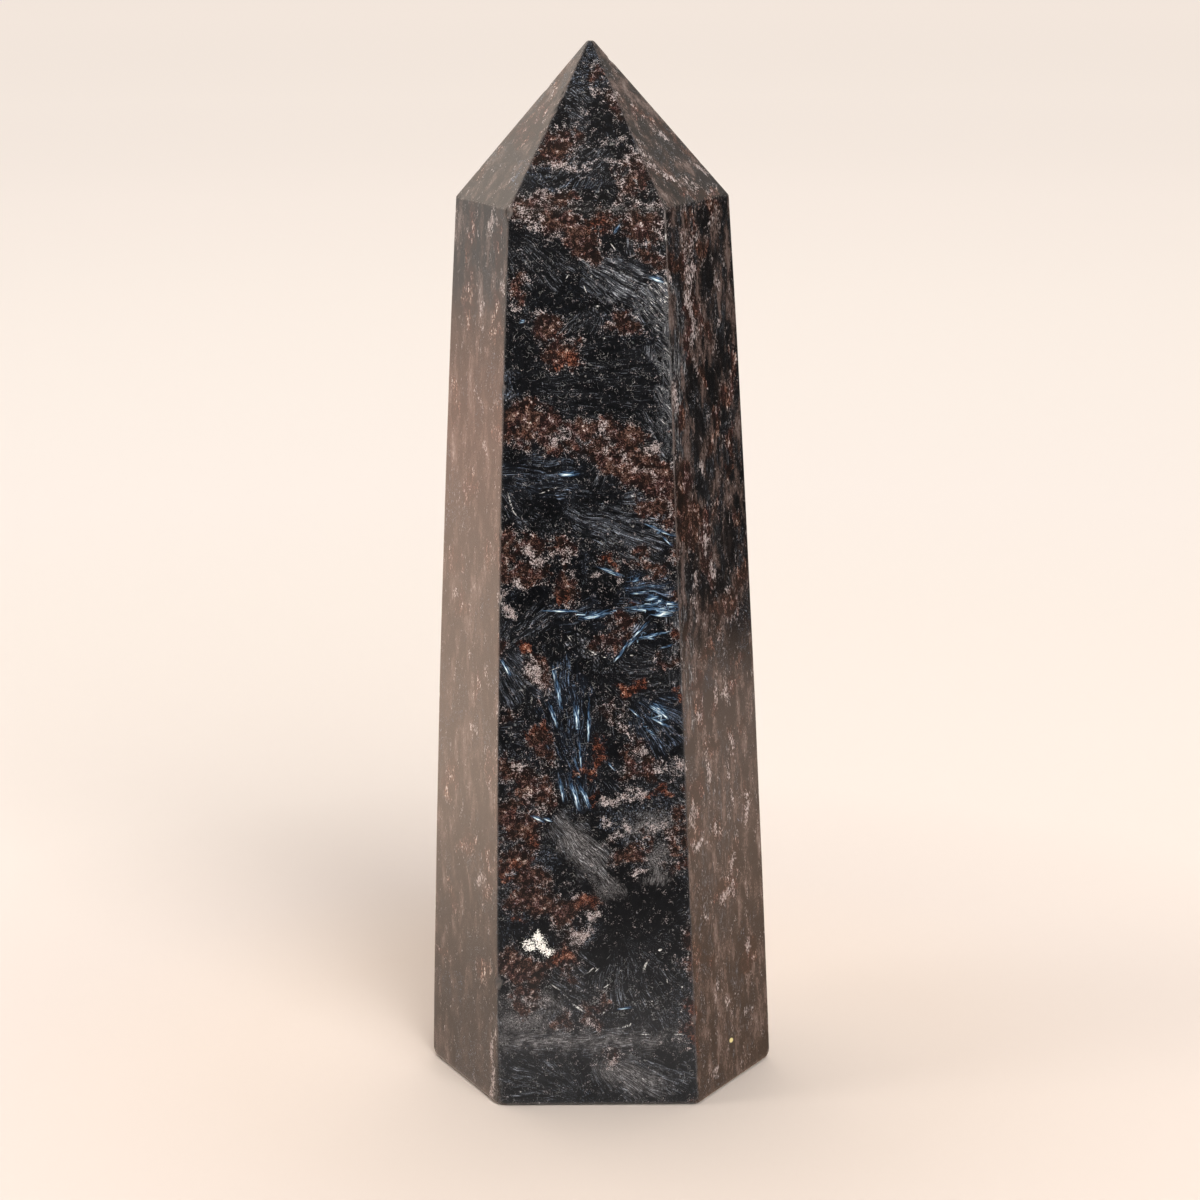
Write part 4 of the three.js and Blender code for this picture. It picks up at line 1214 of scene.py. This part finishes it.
def buildStage():
    reach, low = stage["floorReach"], stage["heights"]["floor"]
    floor = [(x * reach, y * reach, low) for x, y in ((-1, -1), (1, -1), (1, 1), (-1, 1))]
    # The floor's glow is painted light, growing away from the stone
    card("floor", floor, radialGlow("floor_cloth_painted_glow", stage["floorGlow"], stage["floor"], stage["spills"]))

    sheets = []
    under, step, low = stage["underReach"], stage["sectorStep"], stage["heights"]["sectors"]
    for side in ("left", "right"):
        start, end = stage[side + "Sector"]
        rim = [polar(bearing, under, 0, low) for bearing in range(start, end + 1, step)]
        glow = radialGlow(side + "_glow", stage[side + "Glow"])
        sheets.append(card(side + "_glow", [(0, 0, low)] + rim, glow))
    spot, low = stage["frontCard"], stage["heights"]["frontCard"]
    near, far, half, halfNear = spot["nearest"], spot["furthest"], spot["half"], spot["halfNear"]
    corners = [(-half, -far, low), (half, -far, low), (halfNear, -near, low), (-halfNear, -near, low)]
    sheets.append(card("front_card", corners, radialGlow("front_glow", stage["frontGlow"])))
    spot = stage["rightCard"]
    ends = [polar(spot["bearing"], spot["distance"], side * spot["half"]) for side in (-1, 1)]
    top = [(x, y, spot["height"]) for x, y, _z in reversed(ends)]
    plain = radialGlow("right_card", [(0.0, spot["glow"]), (under, spot["glow"])])
    sheets.append(card("right_card", ends + top, plain))
    # The cards' painted glow shows only in the stone's reflections: the camera, shadows and diffuse light
    # pass them by
    for sheet in sheets:
        sheet.visible_camera = False
        sheet.visible_shadow = False
        sheet.visible_diffuse = False


buildStage()

# Lamps: bearing and elevation in degrees, distance and size in mm, watts, spread in degrees and colour
light = {
    "key": (291, 38, 700, 420, 2.6, 120, (1, 0.97, 0.94)),
    "top": (90, 68, 900, 900, 4.6, 180, (1, 0.96, 0.92)),
    "fill": (195, 22, 700, 300, 1.8, 180, (1, 0.96, 0.92)),
}
aim = (0, 0, 60)  # mm
sky = {
    "seen": (0.93, 0.85, 0.78),
    "cast": (1.0, 0.85, 0.73),
    "brightWay": (-0.55, 0.78, 0.25),
    "brightSpan": (-0.3, 0.95),  # cosines to that way
    "bright": 1.1,
    "dim": 0.08,
    "windowWay": (-0.63, 0.69, 0.387),
    "windowSpan": (0.9, 0.985),
    "window": 0.28,
}


# The lamps light the grain of the stone, and the polish doesn't mirror them
def buildLight():
    for name, (bearingDegrees, elevation, distance, size, watts, spread, colour) in light.items():
        lamp = bpy.data.lights.new(name, "AREA")
        lamp.shape, lamp.size, lamp.energy, lamp.color = "DISK", size * mm, watts, colour
        lamp.spread = math.radians(spread)
        turn = math.radians(elevation)
        place = polar(bearingDegrees, distance * math.cos(turn), 0, distance * math.sin(turn))
        spot = addObject(name, lamp)
        spot.location = Vector(place) * mm
        spot.rotation_euler = (Vector(aim) - Vector(place)).to_track_quat("-Z", "Y").to_euler()
        spot.visible_glossy = False


# Brighter towards the back left, with a soft window there, and dim elsewhere
def buildWorld():
    world = bpy.data.worlds.new("world")
    bpy.context.scene.world = world
    world.use_nodes = True
    world.node_tree.nodes.clear()
    net = Net(world.node_tree)
    way = net.add("TexCoord").outputs["Generated"]
    towards = net.vector("DOT_PRODUCT", way, Vector(sky["brightWay"]).normalized())
    strength = net.ease(towards, *sky["brightSpan"], sky["dim"], sky["bright"])
    towards = net.vector("DOT_PRODUCT", way, Vector(sky["windowWay"]).normalized())
    strength = net.plus(strength, net.ease(towards, *sky["windowSpan"], 0, sky["window"]))
    seen = net.add("Background", sky["seen"]).outputs[0]
    cast = net.add("Background", sky["cast"], strength).outputs[0]
    forCamera = net.add("LightPath").outputs["Is Camera Ray"]
    both = net.add("MixShader", forCamera, cast, seen).outputs[0]
    net.add("OutputWorld", both)


buildLight()
buildWorld()
bpy.context.scene.view_settings.view_transform = "Standard"
print("stage and light placed")
